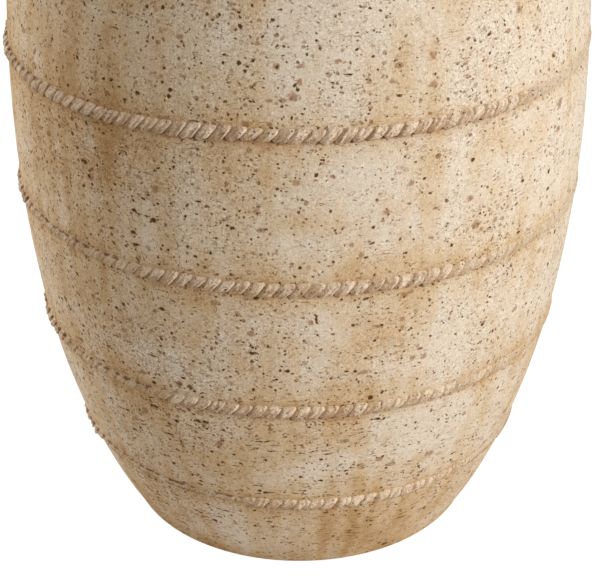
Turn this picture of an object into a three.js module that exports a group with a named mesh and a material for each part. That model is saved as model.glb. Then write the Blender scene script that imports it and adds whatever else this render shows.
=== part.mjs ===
// A large clay flower pot, raised in rings. A floor disc lies on the ledge of the foot ring, each wall ring
// stands on the bevelled edge of the one below, a collar with a rolled lip closes the shoulder, and a rope
// of twisted clay is pressed over each seam of the wall.
// Millimetres, +Z up. The origin is the centre of the foot, on the surface that the pot stands on.
import * as THREE from "three";

// Outline of the pot
const potHeight = 620;
const bellyRadius = 225;
const bellyHeight = 365;
const footRadius = 142;
const neckRadius = 160;
const collarHeight = 35;
const wallThickness = 14;
const flankFullnessShare = 0.845;
const flankPower = 2;
const shoulderFullnessShare = 0.88;
const shoulderPower = 3;

// Seams and seats
const seamGap = 0.35;
const seamFall = 5;
const seatGap = 0.3;

// Foot and floor
const footEdgeHeight = 4;
const footFlatWidth = 24;
const footRecess = 7;
const floorThickness = 16;
const drainRadius = 14;

// Collar and rolled lip
const lipRadius = 15;
const lipStandOut = 2;
const waistDraw = 2.5;
const lipStartTurn = THREE.MathUtils.degToRad(-106);
const lipEndTurn = THREE.MathUtils.degToRad(174);

// Clay ropes. Their heights are shares of the height from the foot to the neck, from the lowest up.
const ropeHeightShares = [0.1453, 0.3159, 0.5041, 0.706, 0.904];
const ropeWidth = 11.5;
const ropeRelief = 4.6;
const ropeGroove = 1.7;
const ropeCrestShare = 0.44;
const strandPitch = 10.9;
const strandLean = 6.5;

// Facets
const roundSteps = 48;
const footEdgeSteps = 3;
const footWallSteps = 3;
const footInnerSteps = 2;
const ringSteps = 2;
const bendingRingSteps = 3;
const lipSteps = 10;
const strandCountStep = 4;
const slopeStepShare = 0.0001;
const solvingRounds = 40;

const clay = { color: 0xc9b18c, roughness: 0.92, metalness: 0 };
const washedClay = { color: 0xb99b74, roughness: 0.95, metalness: 0 };
const ropeClay = { color: 0xc4ab8c, roughness: 0.9, metalness: 0 };

const neckHeight = potHeight - collarHeight;
const ropeHeights = ropeHeightShares.map((share) => share * neckHeight);
const pot = new THREE.Group();

function addPiece(name, geometry, finish) {
  const piece = new THREE.Mesh(geometry, new THREE.MeshStandardMaterial(finish));
  piece.name = name;
  pot.add(piece);
}

// How far the radius has dropped, as a share of its whole drop, at a share of the way from the belly.
// The drop follows the start of a rounded quarter arc, up to the fullness share of its width, and past the
// end of the way it runs straight on.
function dropShare(wayShare, fullnessShare, power) {
  const fall = (share) => 1 - Math.pow(1 - Math.pow(share, power), 1 / power);
  const steepness = (share) => Math.pow(Math.pow(share, -power) - 1, 1 / power - 1);
  const pastEnd = Math.max(wayShare - 1, 0) * fullnessShare * steepness(fullnessShare);
  return (fall(fullnessShare * Math.min(wayShare, 1)) + pastEnd) / fall(fullnessShare);
}

// The wall's outer radius at a height: a long flank below the belly and a fuller shoulder above it
function outerRadius(height) {
  if (height < bellyHeight) {
    const wayShare = (bellyHeight - height) / bellyHeight;
    return bellyRadius - (bellyRadius - footRadius) * dropShare(wayShare, flankFullnessShare, flankPower);
  }
  const wayShare = (height - bellyHeight) / (neckHeight - bellyHeight);
  return bellyRadius - (bellyRadius - neckRadius) * dropShare(wayShare, shoulderFullnessShare, shoulderPower);
}

// A point of the outer face, with the directions up the wall and out of it. x is the radius, y the height.
function wallFrame(height) {
  const step = potHeight * slopeStepShare;
  const point = new THREE.Vector2(outerRadius(height), height);
  const up = new THREE.Vector2(outerRadius(height + step) - outerRadius(height - step), step + step);
  up.normalize();
  return { point, up, out: new THREE.Vector2(up.y, -up.x) };
}

// A point at a depth behind the outer face, square to it
function wallPoint(height, depth) {
  const { point, out } = wallFrame(height);
  return point.addScaledVector(out, -depth);
}

// The point of the inner face that lies at a height
function innerPoint(height) {
  let outerHeight = height;
  for (let round = 0; round < solvingRounds; round++) {
    outerHeight += height - wallPoint(outerHeight, wallThickness).y;
  }
  return wallPoint(outerHeight, wallThickness);
}

// A seam's outer and inner edge. The seam falls towards the inside, so the upper ring centres itself.
function seamEdges(height, side) {
  const outer = wallPoint(height + (side * seamGap) / 2, 0);
  let innerHeight = outer.y;
  for (let round = 0; round < solvingRounds; round++) {
    const fall = ((outer.x - innerPoint(innerHeight).x) * seamFall) / wallThickness;
    innerHeight = (innerHeight + outer.y - fall) / 2;
  }
  return [outer, innerPoint(innerHeight)];
}

// Heights that part a stretch in equal steps, without its ends
function heightsBetween(low, high, steps) {
  const heights = [];
  for (let step = 1; step < steps; step++) {
    heights.push(low + ((high - low) * step) / steps);
  }
  return heights;
}

const outerStation = (height) => wallPoint(height, 0);
const outerStations = (low, high, steps) => heightsBetween(low, high, steps).map(outerStation);
const innerStations = (high, low, steps) => heightsBetween(high, low, steps).map(innerPoint);

// Turns a closed outline round the pot's axis. Its points run up the outside and down the inside.
function turned(outline) {
  const geometry = new THREE.LatheGeometry([...outline, outline[0].clone()], roundSteps);
  return geometry.rotateX(Math.PI / 2);
}

function wallRing(low, high, steps) {
  const [lowOuter, lowInner] = seamEdges(low, 1);
  const [highOuter, highInner] = seamEdges(high, -1);
  return turned([
    lowOuter,
    ...outerStations(low, high, steps),
    highOuter,
    highInner,
    ...innerStations(highInner.y, lowInner.y, steps),
    lowInner,
  ]);
}

// An arc from one direction to another, both ends included
function arcPoints(centre, radius, startTurn, endTurn, steps) {
  const points = [];
  for (let step = 0; step <= steps; step++) {
    const turn = startTurn + ((endTurn - startTurn) * step) / steps;
    points.push(new THREE.Vector2(Math.cos(turn), Math.sin(turn)).multiplyScalar(radius).add(centre));
  }
  return points;
}

// The foot's rounded edge leaves the flat underside and runs smoothly into the flank
function footEdge() {
  const { point, out } = wallFrame(footEdgeHeight);
  const edgeRadius = footEdgeHeight / (1 + out.y);
  const centre = point.addScaledVector(out, -edgeRadius);
  return arcPoints(centre, edgeRadius, -Math.PI / 2, out.angle() - 2 * Math.PI, footEdgeSteps);
}

const floorBottom = footRecess + seatGap;
const floorTop = floorBottom + floorThickness;

function footRing(high) {
  const edge = footEdge();
  const [highOuter, highInner] = seamEdges(high, -1);
  const ledgeRadius = edge[0].x - footFlatWidth;
  return turned([
    ...edge,
    ...outerStations(footEdgeHeight, high, footWallSteps),
    highOuter,
    highInner,
    ...innerStations(highInner.y, floorTop, footInnerSteps),
    innerPoint(floorTop),
    innerPoint(footRecess),
    new THREE.Vector2(ledgeRadius, footRecess),
    new THREE.Vector2(ledgeRadius, 0),
  ]);
}

// The floor disc lies on the foot ring's ledge, and its edge follows the ring's inner face
function floorDisc() {
  return turned([
    new THREE.Vector2(drainRadius, floorBottom),
    new THREE.Vector2(innerPoint(floorBottom).x - seatGap, floorBottom),
    new THREE.Vector2(innerPoint(floorTop).x - seatGap, floorTop),
    new THREE.Vector2(drainRadius, floorTop),
  ]);
}

// The collar stands on the shoulder, draws in to a waist and rolls over into the lip
function lipCollar() {
  const [lowOuter, lowInner] = seamEdges(neckHeight, 1);
  const lipCentre = new THREE.Vector2(neckRadius + lipStandOut, potHeight - lipRadius);
  const lip = arcPoints(lipCentre, lipRadius, lipStartTurn, lipEndTurn, lipSteps);
  const waist = new THREE.Vector2(neckRadius - waistDraw, (lowOuter.y + lip[0].y) / 2);
  const throat = new THREE.Vector2(lip[lipSteps].x, (lip[lipSteps].y + lowInner.y) / 2);
  return turned([lowOuter, waist, ...lip, throat, lowInner]);
}

// The faces between a rope's column and the next one. A ridge has the corners a, b, c, d from its low edge
// to its high edge, and a groove has a, m, d.
function ropeFaces(here, next, isRidge) {
  const [a, b, c, d] = isRidge ? [here, here + 1, here + 2, here + 3] : [next, next + 1, next + 2, next + 3];
  const [grooveA, m, grooveD] = isRidge ? [next, next + 1, next + 2] : [here, here + 1, here + 2];
  const faces = [
    [a, grooveA, b],
    [b, grooveA, m],
    [b, m, c],
    [c, m, grooveD],
    [c, grooveD, d],
    [a, d, grooveD],
    [a, grooveD, grooveA],
  ];
  return isRidge ? faces : faces.map((face) => face.reverse());
}

// A rope of twisted clay, pressed on the wall. Each strand is a ridge that leans along the rope, with a
// groove on either side, and the rope's back lies flat against the wall.
function ropeBand(height) {
  const { point, up, out } = wallFrame(height);
  const ropeLength = 2 * Math.PI * (point.x + ropeRelief);
  const strands = strandCountStep * Math.round(ropeLength / strandPitch / strandCountStep);
  const crest = seatGap + ropeRelief;
  const lowEdge = [-ropeWidth / 2, seatGap];
  const highEdge = [ropeWidth / 2, seatGap];
  const crestHalf = (ropeWidth * ropeCrestShare) / 2;
  const ridge = [lowEdge, [-crestHalf, crest], [crestHalf, crest], highEdge];
  const groove = [lowEdge, [0, crest - ropeGroove], highEdge];
  const columns = 2 * strands;
  const positions = [];
  const starts = [];
  for (let column = 0; column < columns; column++) {
    starts.push(positions.length / 3);
    for (const [rise, stand] of column % 2 ? groove : ridge) {
      const spot = point.clone().addScaledVector(up, rise).addScaledVector(out, stand);
      const turn = (2 * Math.PI * column) / columns + ((rise / ropeWidth) * strandLean) / point.x;
      positions.push(spot.x * Math.cos(turn), spot.x * Math.sin(turn), spot.y);
    }
  }
  const faces = starts.flatMap((here, column) => {
    const next = starts[(column + 1) % columns];
    return ropeFaces(here, next, column % 2 === 0);
  });
  const geometry = new THREE.BufferGeometry();
  geometry.setAttribute("position", new THREE.Float32BufferAttribute(positions, 3));
  geometry.setIndex(faces.flat());
  geometry.computeVertexNormals();
  return geometry;
}

addPiece("floor_disc", floorDisc(), clay);
addPiece("foot_ring", footRing(ropeHeights[0]), washedClay);
const ringStepCounts = [ringSteps, ringSteps, ringSteps, bendingRingSteps];
ringStepCounts.forEach((steps, index) => {
  addPiece(`wall_ring_${index + 2}`, wallRing(ropeHeights[index], ropeHeights[index + 1], steps), clay);
});
addPiece("shoulder_ring", wallRing(ropeHeights[ringStepCounts.length], neckHeight, ringSteps), clay);
addPiece("lip_collar", lipCollar(), washedClay);
ropeHeights.forEach((height, index) => {
  addPiece(`rope_band_${index + 1}`, ropeBand(height), ropeClay);
});

export default pot;
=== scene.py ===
# A large clay flower pot, raised in rings, with ropes of twisted clay pressed over its seams.
# Metres, +Z up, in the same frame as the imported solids.
import math

import bpy
import mathutils
import numpy as np
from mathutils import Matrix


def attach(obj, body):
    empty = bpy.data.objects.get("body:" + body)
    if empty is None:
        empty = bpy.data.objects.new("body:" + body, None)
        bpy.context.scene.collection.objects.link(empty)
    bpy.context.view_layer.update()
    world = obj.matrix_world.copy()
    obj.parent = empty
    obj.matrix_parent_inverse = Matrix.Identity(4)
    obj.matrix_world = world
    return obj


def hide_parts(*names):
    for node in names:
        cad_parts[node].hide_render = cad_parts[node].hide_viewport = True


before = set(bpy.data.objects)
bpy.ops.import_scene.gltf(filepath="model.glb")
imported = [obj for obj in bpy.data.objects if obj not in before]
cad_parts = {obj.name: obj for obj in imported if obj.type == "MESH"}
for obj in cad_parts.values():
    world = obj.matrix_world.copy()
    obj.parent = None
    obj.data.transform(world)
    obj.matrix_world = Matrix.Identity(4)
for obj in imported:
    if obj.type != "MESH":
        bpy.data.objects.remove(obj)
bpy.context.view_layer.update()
print("solids loaded:", len(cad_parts))

perMetre = 1000.0  # millimetres

# The pot's outline, the same values as the solids have
potShape = {
    "height": 0.620,
    "bellyRadius": 0.225,
    "bellyHeight": 0.365,
    "footRadius": 0.142,
    "neckRadius": 0.160,
    "collarHeight": 0.035,
    "wallThickness": 0.014,
    "flankFullness": 0.845,
    "flankPower": 2.0,
    "shoulderFullness": 0.88,
    "shoulderPower": 3.0,
    "seamGap": 0.00035,
    "seamFall": 5.0 / 14.0,
    "ropeHeightShares": (0.1453, 0.3159, 0.5041, 0.706, 0.904),
    "dippingRope": 4,
    "dipTurns": (-125.0, -78.0, -58.0, -43.0, -28.0, -12.0, 0.0),
    "dips": (0.0, -0.0044, -0.0037, -0.0031, -0.0018, -0.0004, 0.0),
    # How finely the surfaces are made
    "columns": 960,
    "rowStep": 0.0015,
    "mostSteps": 75,  # keeps the tallest rings under 200,000 triangles
    "innerRowStep": 0.007,
    "edgeRow": 0.0005,
    "cornerRow": 0.0004,
    "cornerShare": 0.2,
    "seamSteps": 3,
    "slopeStep": 0.00006,
    "seamRounds": 40,
    "tablePast": (0.01, 0.004),
    "tableRows": 1600,
}
neckHeight = potShape["height"] - potShape["collarHeight"]
ropeHeights = [share * neckHeight for share in potShape["ropeHeightShares"]]


# Share of the drop at a share w of the way: f(k w) / f(k) with f(s) = 1 - (1 - s^n)^(1/n), and past w = 1
# it runs straight on
def dropShare(way, fullness, power):
    def fall(share):
        return 1.0 - (1.0 - share**power) ** (1.0 / power)

    steepness = (fullness**-power - 1.0) ** (1.0 / power - 1.0)
    pastEnd = np.maximum(way - 1.0, 0.0) * fullness * steepness
    return (fall(fullness * np.clip(way, 0.0, 1.0)) + pastEnd) / fall(fullness)


# Outer radius: the belly's radius less the drop towards the foot, or less the drop towards the neck
def outerRadius(height):
    p = potShape
    belly, middle = p["bellyRadius"], p["bellyHeight"]
    height = np.asarray(height, dtype=float)
    flank = dropShare((middle - height) / middle, p["flankFullness"], p["flankPower"])
    shoulderWay = (height - middle) / (neckHeight - middle)
    shoulder = dropShare(shoulderWay, p["shoulderFullness"], p["shoulderPower"])
    below = belly - (belly - p["footRadius"]) * flank
    above = belly - (belly - p["neckRadius"]) * shoulder
    return np.where(height < middle, below, above)


# Radius and the unit direction up the wall (its radial and its upright part), from a central difference
def wallFrame(height):
    step = potShape["slopeStep"]
    lean = (outerRadius(height + step) - outerRadius(height - step)) / (2.0 * step)
    length = np.hypot(lean, 1.0)
    return outerRadius(height), lean / length, 1.0 / length


# Inner face: the outer face moved in, square to itself, by the wall's thickness
tableBelow, tableAbove = potShape["tablePast"]
heightTable = np.linspace(-tableBelow, neckHeight + tableAbove, potShape["tableRows"])
radiusTable, leanTable, riseTable = wallFrame(heightTable)
innerHeightTable = heightTable + leanTable * potShape["wallThickness"]
innerRadiusTable = radiusTable - riseTable * potShape["wallThickness"]


def innerRadius(height):
    return np.interp(height, innerHeightTable, innerRadiusTable)


# Seam: its outer edge lies on the outer face and its inner edge on the inner face, lower by the seam's fall
def seamEdges(height, side):
    outerHeight = height + side * potShape["seamGap"] / 2.0
    radius = float(outerRadius(outerHeight))
    innerHeight = outerHeight
    for _ in range(potShape["seamRounds"]):
        fall = (radius - float(innerRadius(innerHeight))) * potShape["seamFall"]
        innerHeight = (innerHeight + outerHeight - fall) / 2.0
    return (radius, outerHeight), (float(innerRadius(innerHeight)), innerHeight)


# Noise lattice: how high it reaches, its spare rows, the rows under the ground, what scales it to -1..1, and
# the height and cell height of a noise that only varies round the pot
noiseLattice = {"reach": 0.7, "spareRows": 8, "lowRows": 3.0, "scale": 2.1, "oneRow": (0.1, 0.7)}


# Cubic B-spline weights (1-t)^3/6, (3t^3-6t^2+4)/6, (-3t^3+3t^2+3t+1)/6, t^3/6
def splineWeights(t):
    first, last = (1 - t) ** 3 / 6, t**3 / 6
    return first, (3 * t**3 - 6 * t**2 + 4) / 6, (-3 * t**3 + 3 * t**2 + 3 * t + 1) / 6, last


# Noise round the pot, about -1..1: random values on a lattice that closes on itself, blended with the weights
def potNoise(turnShare, height, cellsRound, cellHeight, seed):
    n = noiseLattice
    rows = int(math.ceil(n["reach"] / cellHeight)) + n["spareRows"]
    lattice = np.random.default_rng(seed).uniform(-1.0, 1.0, (rows, cellsRound))
    turnShare, height = np.broadcast_arrays(turnShare, height)
    across = np.mod(turnShare, 1.0) * cellsRound
    up = np.clip(height / cellHeight + n["lowRows"], 1.0, rows - n["lowRows"])
    column, row = np.floor(across).astype(int), np.floor(up).astype(int)
    acrossWeights, upWeights = splineWeights(across - column), splineWeights(up - row)
    total = np.zeros(across.shape)
    for i, acrossWeight in enumerate(acrossWeights):
        for j, upWeight in enumerate(upWeights):
            values = lattice[row + j - 1, (column + i - 1) % cellsRound]
            total += acrossWeight * upWeight * values
    return total * n["scale"]


# Blend from 0 to 1 between two values: t^2 (3 - 2 t)
def smooth(low, high, value):
    t = np.clip((value - low) / (high - low), 0.0, 1.0)
    return t * t * (3.0 - 2.0 * t)


# Turn to the right of the front, in degrees, from the share of a full turn (0 at +X)
def degreesRight(turnShare):
    return (np.mod(turnShare + 0.75, 1.0) - 0.5) * 360.0


# Points on circles round the axis: (r cos 2 pi t, r sin 2 pi t, z)
def spunPoints(radius, turnShare, height):
    turn = 2.0 * np.pi * turnShare
    return np.stack([radius * np.cos(turn), radius * np.sin(turn), height], axis=-1)


# How uneven the hand-raised wall is. All of it goes inwards, so the pot keeps its outline. Cells are how many
# a noise has round the pot, the height of one and its seed.
unevenness = {
    "wobble": 0.0010,
    "wobbleCells": (5, 0.17, 11),
    "lump": 0.00034,
    "lumpCells": (56, 0.026, 12),
    "dimple": 0.00012,
    "dimpleCells": (170, 0.008, 13),
    "throwing": 0.00008,
    "throwingCells": (4, 0.0042, 14),
    "footEdge": (0.0005, 0.012),
    "ropeBed": 0.0003,
    "ropeBedHalf": 0.0052,
    "ropeBedEdge": 0.0050,
    "inside": 0.0007,
    "insideCells": (24, 0.05, 21),
    "insideRidge": 0.0006,
    "insideRidgePitch": 0.017,
    "ridgeShares": (0.6, 0.4),
    "ridgeCells": (9, 0.06, 22),
}


# Slow out-of-round: -a (1 + n) / 2
def wobble(turnShare, height):
    noise = potNoise(turnShare, height, *unevenness["wobbleCells"])
    return -unevenness["wobble"] * (0.5 + 0.5 * np.clip(noise, -1.0, 1.0))


# One rope was not laid quite level: its offset along the wall at a turn, straight lines through given points
def ropeDip(turnShare, number):
    if number != potShape["dippingRope"]:
        return np.zeros(np.shape(turnShare))
    return np.interp(degreesRight(turnShare), potShape["dipTurns"], potShape["dips"], period=360.0)


# Distance from the nearest rope's middle, along the wall, positive above the rope
def ropeDistance(turnShare, height):
    turnShare, height = np.broadcast_arrays(turnShare, np.asarray(height, dtype=float))
    _, _, rise = wallFrame(height)
    offsets = np.array([
        (height - rope) / rise - ropeDip(turnShare, number + 1) for number, rope in enumerate(ropeHeights)
    ])
    nearest = np.argmin(np.abs(offsets), axis=0)[None]
    return np.take_along_axis(offsets, nearest, axis=0)[0]


# Outer relief: wobble + a (n - 1) / 2 for lumps, dimples and throwing lines, all fading out at the foot's
# edge, less the bed that each rope lies in
def wallRelief(turnShare, height):
    u = unevenness
    relief = wobble(turnShare, height)
    for name in ("lump", "dimple", "throwing"):
        relief = relief + u[name] * (potNoise(turnShare, height, *u[name + "Cells"]) - 1.0) * 0.5
    away = np.abs(ropeDistance(turnShare, height))
    bed = 1.0 - smooth(u["ropeBedHalf"], u["ropeBedHalf"] + u["ropeBedEdge"], away)
    return relief * smooth(*u["footEdge"], np.asarray(height, dtype=float)) - u["ropeBed"] * bed


# Inner relief: slow lumps and finger ridges that climb in a spiral, a cos(2 pi (z / p - turn))
def innerRelief(turnShare, height):
    u = unevenness
    lumps = u["inside"] * potNoise(turnShare, height, *u["insideCells"])
    ridges = u["insideRidge"] * np.cos(2.0 * np.pi * (height / u["insideRidgePitch"] - turnShare))
    steady, varying = u["ridgeShares"]
    return lumps + ridges * (steady + varying * potNoise(turnShare, height, *u["ridgeCells"]))


# Patina of the wash, from 0 for ochre to 1 for pale, and a painted shade that tilts it to ochre on the side
# away from the key lamp.
# Patches are turn (degrees to the right of the front), height (mm), half width (degrees), half height (mm)
# and strength; a positive one is pale.
patinaAndSideShade = {
    "patches": (
        (-20, 450, 13, 34, 0.34), (-20, 486, 7, 18, 0.35), (-46, 480, 10, 26, -0.35),
        (38, 420, 14, 22, 0.28), (-20, 266, 14, 12, 0.28), (-33, 212, 6, 12, 0.30),
        (-11, 128, 8, 12, -0.30), (14, 128, 9, 12, 0.28), (2, 490, 11, 34, 0.90), (13, 490, 9, 26, 0.70),
        (-3, 487, 2.4, 24, 0.45), (10.5, 492, 4, 20, 0.35), (8, 446, 2.6, 30, 0.60),
        (4.5, 472, 2.4, 26, -0.40), (17, 455, 4, 48, -0.30), (22, 492, 7, 14, -0.30),
        (39, 404, 13, 18, 0.32), (-47, 336, 10, 22, 0.28), (1, 350, 8, 14, -0.35),
        (36, 310, 16, 24, 0.34), (45, 222, 8, 24, -0.40), (-32, 208, 8, 14, 0.36),
        (56, 100, 10, 40, 0.34), (33, 470, 13, 40, 0.25), (-52, 448, 16, 30, 0.20),
        (-28, 408, 12, 16, -0.20), (13, 378, 8, 34, 0.62), (-10, 342, 14, 20, 0.30),
        (30, 345, 24, 34, 0.30), (2, 322, 9, 18, 0.25), (32, 242, 11, 44, 0.68), (29, 158, 12, 27, 0.80),
        (3, 121, 11, 19, 0.62), (16, 126, 9, 16, 0.25), (-17, 46, 13, 28, 0.45), (-27, 222, 14, 33, 0.28),
        (46, 462, 15, 32, 0.30), (64, 238, 10, 46, 0.45), (-24, 350, 8, 22, 0.30),
        (58, 352, 16, 44, 0.55), (72, 300, 12, 60, 0.45), (70, 470, 18, 34, 0.45),
        (40, 440, 22, 40, 0.25), (-68, 245, 10, 35, 0.35), (-47, 446, 17, 28, -0.55),
        (-42, 385, 15, 33, -0.30), (20, 44, 18, 30, -0.80), (-49, 240, 14, 48, -0.40),
        (41, 172, 8, 22, -0.35), (12, 304, 16, 9, -0.25), (22, 202, 9, 16, -0.25),
        (-20, 130, 12, 26, -0.25), (-10, 184, 75, 11, -0.25), (-42, 12, 24, 14, -0.60),
        (-55, 42, 10, 20, -0.35),
    ),
    "base": 0.54,
    "patchStrength": 0.62,
    "broad": 0.10,
    "broadCells": (15, 0.075, 32),
    "middle": 0.12,
    "middleCells": (48, 0.024, 33),
    "small": 0.10,
    "smallCells": (150, 0.009, 34),
    "streak": 0.15,
    "streakCells": (230, 0.06, 35),
    "drift": 0.012,
    "driftCells": (34, 0.035, 31),
    "bend": 2.2,
    "bendCells": (60, 0.02, 36),
    # Painted shade: more ochre on the side away from the key lamp, paler towards it
    "sideTurn": 40.0,
    "side": 0.12,
}

# Where the specks crowd together (positive) or keep away (negative), as patches like those above
crowdPatches = (
    (-33, 390, 20, 42, 0.42), (-33, 205, 20, 85, 0.38), (-28, 150, 22, 34, 0.20),
    (-52, 395, 14, 30, 0.20), (-20, 492, 14, 20, 0.24), (-8, 240, 10, 24, 0.10), (-36, 58, 24, 28, 0.30),
    (4, 150, 12, 24, 0.12), (30, 366, 26, 36, -0.12), (4, 342, 10, 22, -0.12), (44, 50, 16, 30, 0.16),
    (22, 262, 8, 20, 0.12),
)


# Sum of patches: s exp(-(dx/a)^2 - (dz/b)^2)
def patchSum(patches, degrees, height):
    total = 0.0
    for turn, middle, halfTurn, halfHeight, strength in patches:
        across = (np.mod(degrees - turn + 180.0, 360.0) - 180.0) / halfTurn
        up = (height * perMetre - middle) / halfHeight
        total = total + strength * np.exp(-(across**2) - up**2)
    return total


# Share of pale wash: base + layered noise + one side's tilt, a painted shade, + the patches.
# A slow drift and bend of the place keep the edges uneven.
def paleShare(turnShare, height):
    p = patinaAndSideShade
    height = np.asarray(height, dtype=float)
    drifted = height + p["drift"] * potNoise(turnShare, height, *p["driftCells"])
    share = p["base"]
    for name, place in (("broad", drifted), ("middle", drifted), ("small", height), ("streak", height)):
        share = share + p[name] * potNoise(turnShare, place, *p[name + "Cells"])
    degrees = degreesRight(turnShare)
    share = share + p["side"] * np.cos(np.radians(degrees - p["sideTurn"]))
    bend = p["bend"] * potNoise(turnShare, height, *p["bendCells"])
    share = share + p["patchStrength"] * patchSum(p["patches"], degrees + bend, drifted)
    return np.clip(share, 0.0, 1.0)


# Chips and spots. A chip is a torn pit, and a spot is a brown grain of grog under the wash. Each is turn
# (degrees right), height (mm), radius (mm) and how much longer it is round the pot than up.
chips = {
    "seed": 51,
    "count": 480,
    "smallest": 0.0007,
    "largest": 0.0018,
    "depth": 0.0006,
    "edge": (-0.1, 0.9),
    "placed": (
        (-42.8, 368.0, 1.8, 2.2), (-27.1, 338.5, 2.1, 1.3), (-28.5, 340.0, 1.1, 2.0),
        (-31.2, 342.5, 1.5, 2.0), (-30.3, 340.0, 1.0, 2.0), (-31.7, 324.5, 1.6, 1.8),
        (-31.3, 315.0, 1.2, 3.2), (-20.5, 322.5, 1.6, 1.0), (-24.4, 317.0, 1.3, 1.1),
        (-19.0, 316.0, 1.3, 1.8), (-16.1, 320.5, 1.5, 1.0), (-14.9, 333.0, 1.2, 1.9),
        (-11.9, 342.0, 1.4, 1.4), (-12.8, 343.5, 0.9, 2.0), (-18.1, 359.5, 0.9, 3.0),
        (-16.3, 357.0, 1.2, 1.8), (-35.8, 280.0, 1.3, 0.6), (-25.6, 380.0, 1.2, 1.2),
        (-12.3, 305.0, 1.4, 1.2), (-7.9, 287.0, 1.5, 1.7), (-8.8, 239.0, 1.5, 2.2),
        (-9.0, 244.0, 1.1, 1.6), (-4.5, 491.0, 1.4, 1.3), (-0.7, 448.5, 1.7, 0.9),
        (-0.2, 445.5, 1.5, 0.9), (3.1, 478.0, 1.2, 1.0), (5.9, 449.5, 1.0, 2.2), (8.5, 454.5, 0.9, 3.6),
        (17.6, 437.0, 1.2, 1.6), (24.3, 448.5, 1.2, 0.8), (45.6, 348.0, 1.6, 1.1),
        (-54.6, 226.0, 1.4, 1.4), (-32.5, 169.0, 1.5, 3.4), (4.7, 112.0, 1.3, 1.6),
        (19.4, 47.5, 1.2, 1.1), (9.1, 39.5, 1.1, 1.3), (-34.7, 293.5, 1.4, 1.8), (-62.0, 210.0, 1.3, 1.5),
        (-29.8, 89.0, 1.3, 2.6), (-24.9, 94.0, 1.2, 2.4), (-33.7, 69.0, 1.0, 3.4),
        (-29.1, 57.0, 0.8, 5.5), (-19.3, 67.0, 0.8, 3.4), (-8.3, 60.5, 1.2, 2.2), (-7.1, 55.5, 1.0, 2.2),
        (-40.3, 47.5, 0.9, 3.2), (-8.3, 97.0, 1.6, 1.2),
    ),
    "lowest": 0.0,
}
spots = {
    "seed": 52,
    "count": 620,
    "smallest": 0.0008,
    "largest": 0.0027,
    "placed": (
        (-35.5, 160.0, 3.6, 1.0), (-17.9, 146.0, 3.2, 1.0), (-9.0, 257.0, 3.3, 1.0),
        (-1.0, 440.5, 3.8, 1.1), (0.1, 450.5, 2.6, 0.8), (-2.8, 438.0, 2.0, 1.3), (-5.1, 437.0, 1.6, 1.4),
        (-7.2, 476.0, 2.2, 1.1), (-2.8, 466.5, 1.7, 1.1), (0.6, 461.5, 1.7, 1.8), (7.6, 471.0, 1.8, 1.0),
        (12.1, 449.0, 2.8, 0.8), (16.1, 447.5, 2.0, 0.9), (17.7, 458.0, 2.4, 1.8),
        (-9.2, 420.0, 2.6, 1.1), (5.1, 455.5, 1.8, 1.3), (3.7, 443.0, 1.9, 0.8), (5.2, 434.5, 1.8, 0.9),
        (19.9, 372.0, 3.2, 1.0), (32.1, 350.0, 3.0, 1.1), (34.0, 327.0, 3.4, 1.2),
        (38.8, 326.0, 2.6, 1.0), (35.4, 322.0, 2.4, 1.0), (40.6, 325.0, 2.6, 1.1),
        (57.1, 394.0, 4.0, 1.2), (2.1, 267.0, 2.8, 1.0), (22.5, 226.0, 2.6, 1.0), (24.8, 225.0, 3.0, 1.0),
        (-46.2, 60.0, 3.4, 1.1), (24.0, 462.0, 2.8, 1.0), (-15.6, 280.0, 3.0, 1.3),
        (-0.4, 379.0, 2.6, 1.4), (17.9, 129.0, 3.0, 1.2),
    ),
    "lowest": 0.10,
}

# How the random marks are scattered: tries for each mark, clear ends of the wall, the noise and the side that
# crowd them, room beside the ropes, and how sizes and lengths fall
scatter = {
    "tries": 3,
    "clearEnds": (0.006, 0.03),
    "crowdCells": (13, 0.09),
    "side": (0.62, 0.38),
    "sideTurn": -18.0,
    "clearOfRope": 0.009,
    "sizePower": 2.2,
    "longer": (0.8, 1.3),
    "longerPower": 1.7,
    "window": 2.1,
}


# All marks of one kind: the placed ones and seeded random ones, more of them where a slow noise is high
def scatterMarks(look):
    s, random = scatter, np.random.default_rng(look["seed"])
    tries = look["count"] * s["tries"]
    lowEnd, highEnd = s["clearEnds"]
    turns = random.uniform(0.0, 1.0, tries)
    heights = random.uniform(lowEnd, potShape["height"] - highEnd, tries)
    crowded = 0.5 + 0.5 * potNoise(turns, heights, *s["crowdCells"], look["seed"] + 1)
    steady, swing = s["side"]
    side = steady + swing * np.cos(np.radians(degreesRight(turns) - s["sideTurn"]))
    kept = random.uniform(0.0, 1.0, turns.size) < crowded * side
    kept &= (np.abs(ropeDistance(turns, heights)) > s["clearOfRope"]) & (heights > look["lowest"])
    turns, heights = turns[kept][: look["count"]], heights[kept][: look["count"]]
    larger = random.uniform(0, 1, turns.size) ** s["sizePower"]
    sizes = look["smallest"] + (look["largest"] - look["smallest"]) * larger
    shortest, spare = s["longer"]
    longer = shortest + spare * random.uniform(0, 1, turns.size) ** s["longerPower"]
    placed = np.array(look["placed"])
    placedTurns = np.mod(placed[:, 0] / 360.0 + 0.75, 1.0)
    return np.concatenate([
        np.stack([placedTurns, placed[:, 1] / perMetre, placed[:, 2] / perMetre, placed[:, 3]], axis=1),
        np.stack([turns, heights, sizes, longer], axis=1),
    ])


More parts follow.
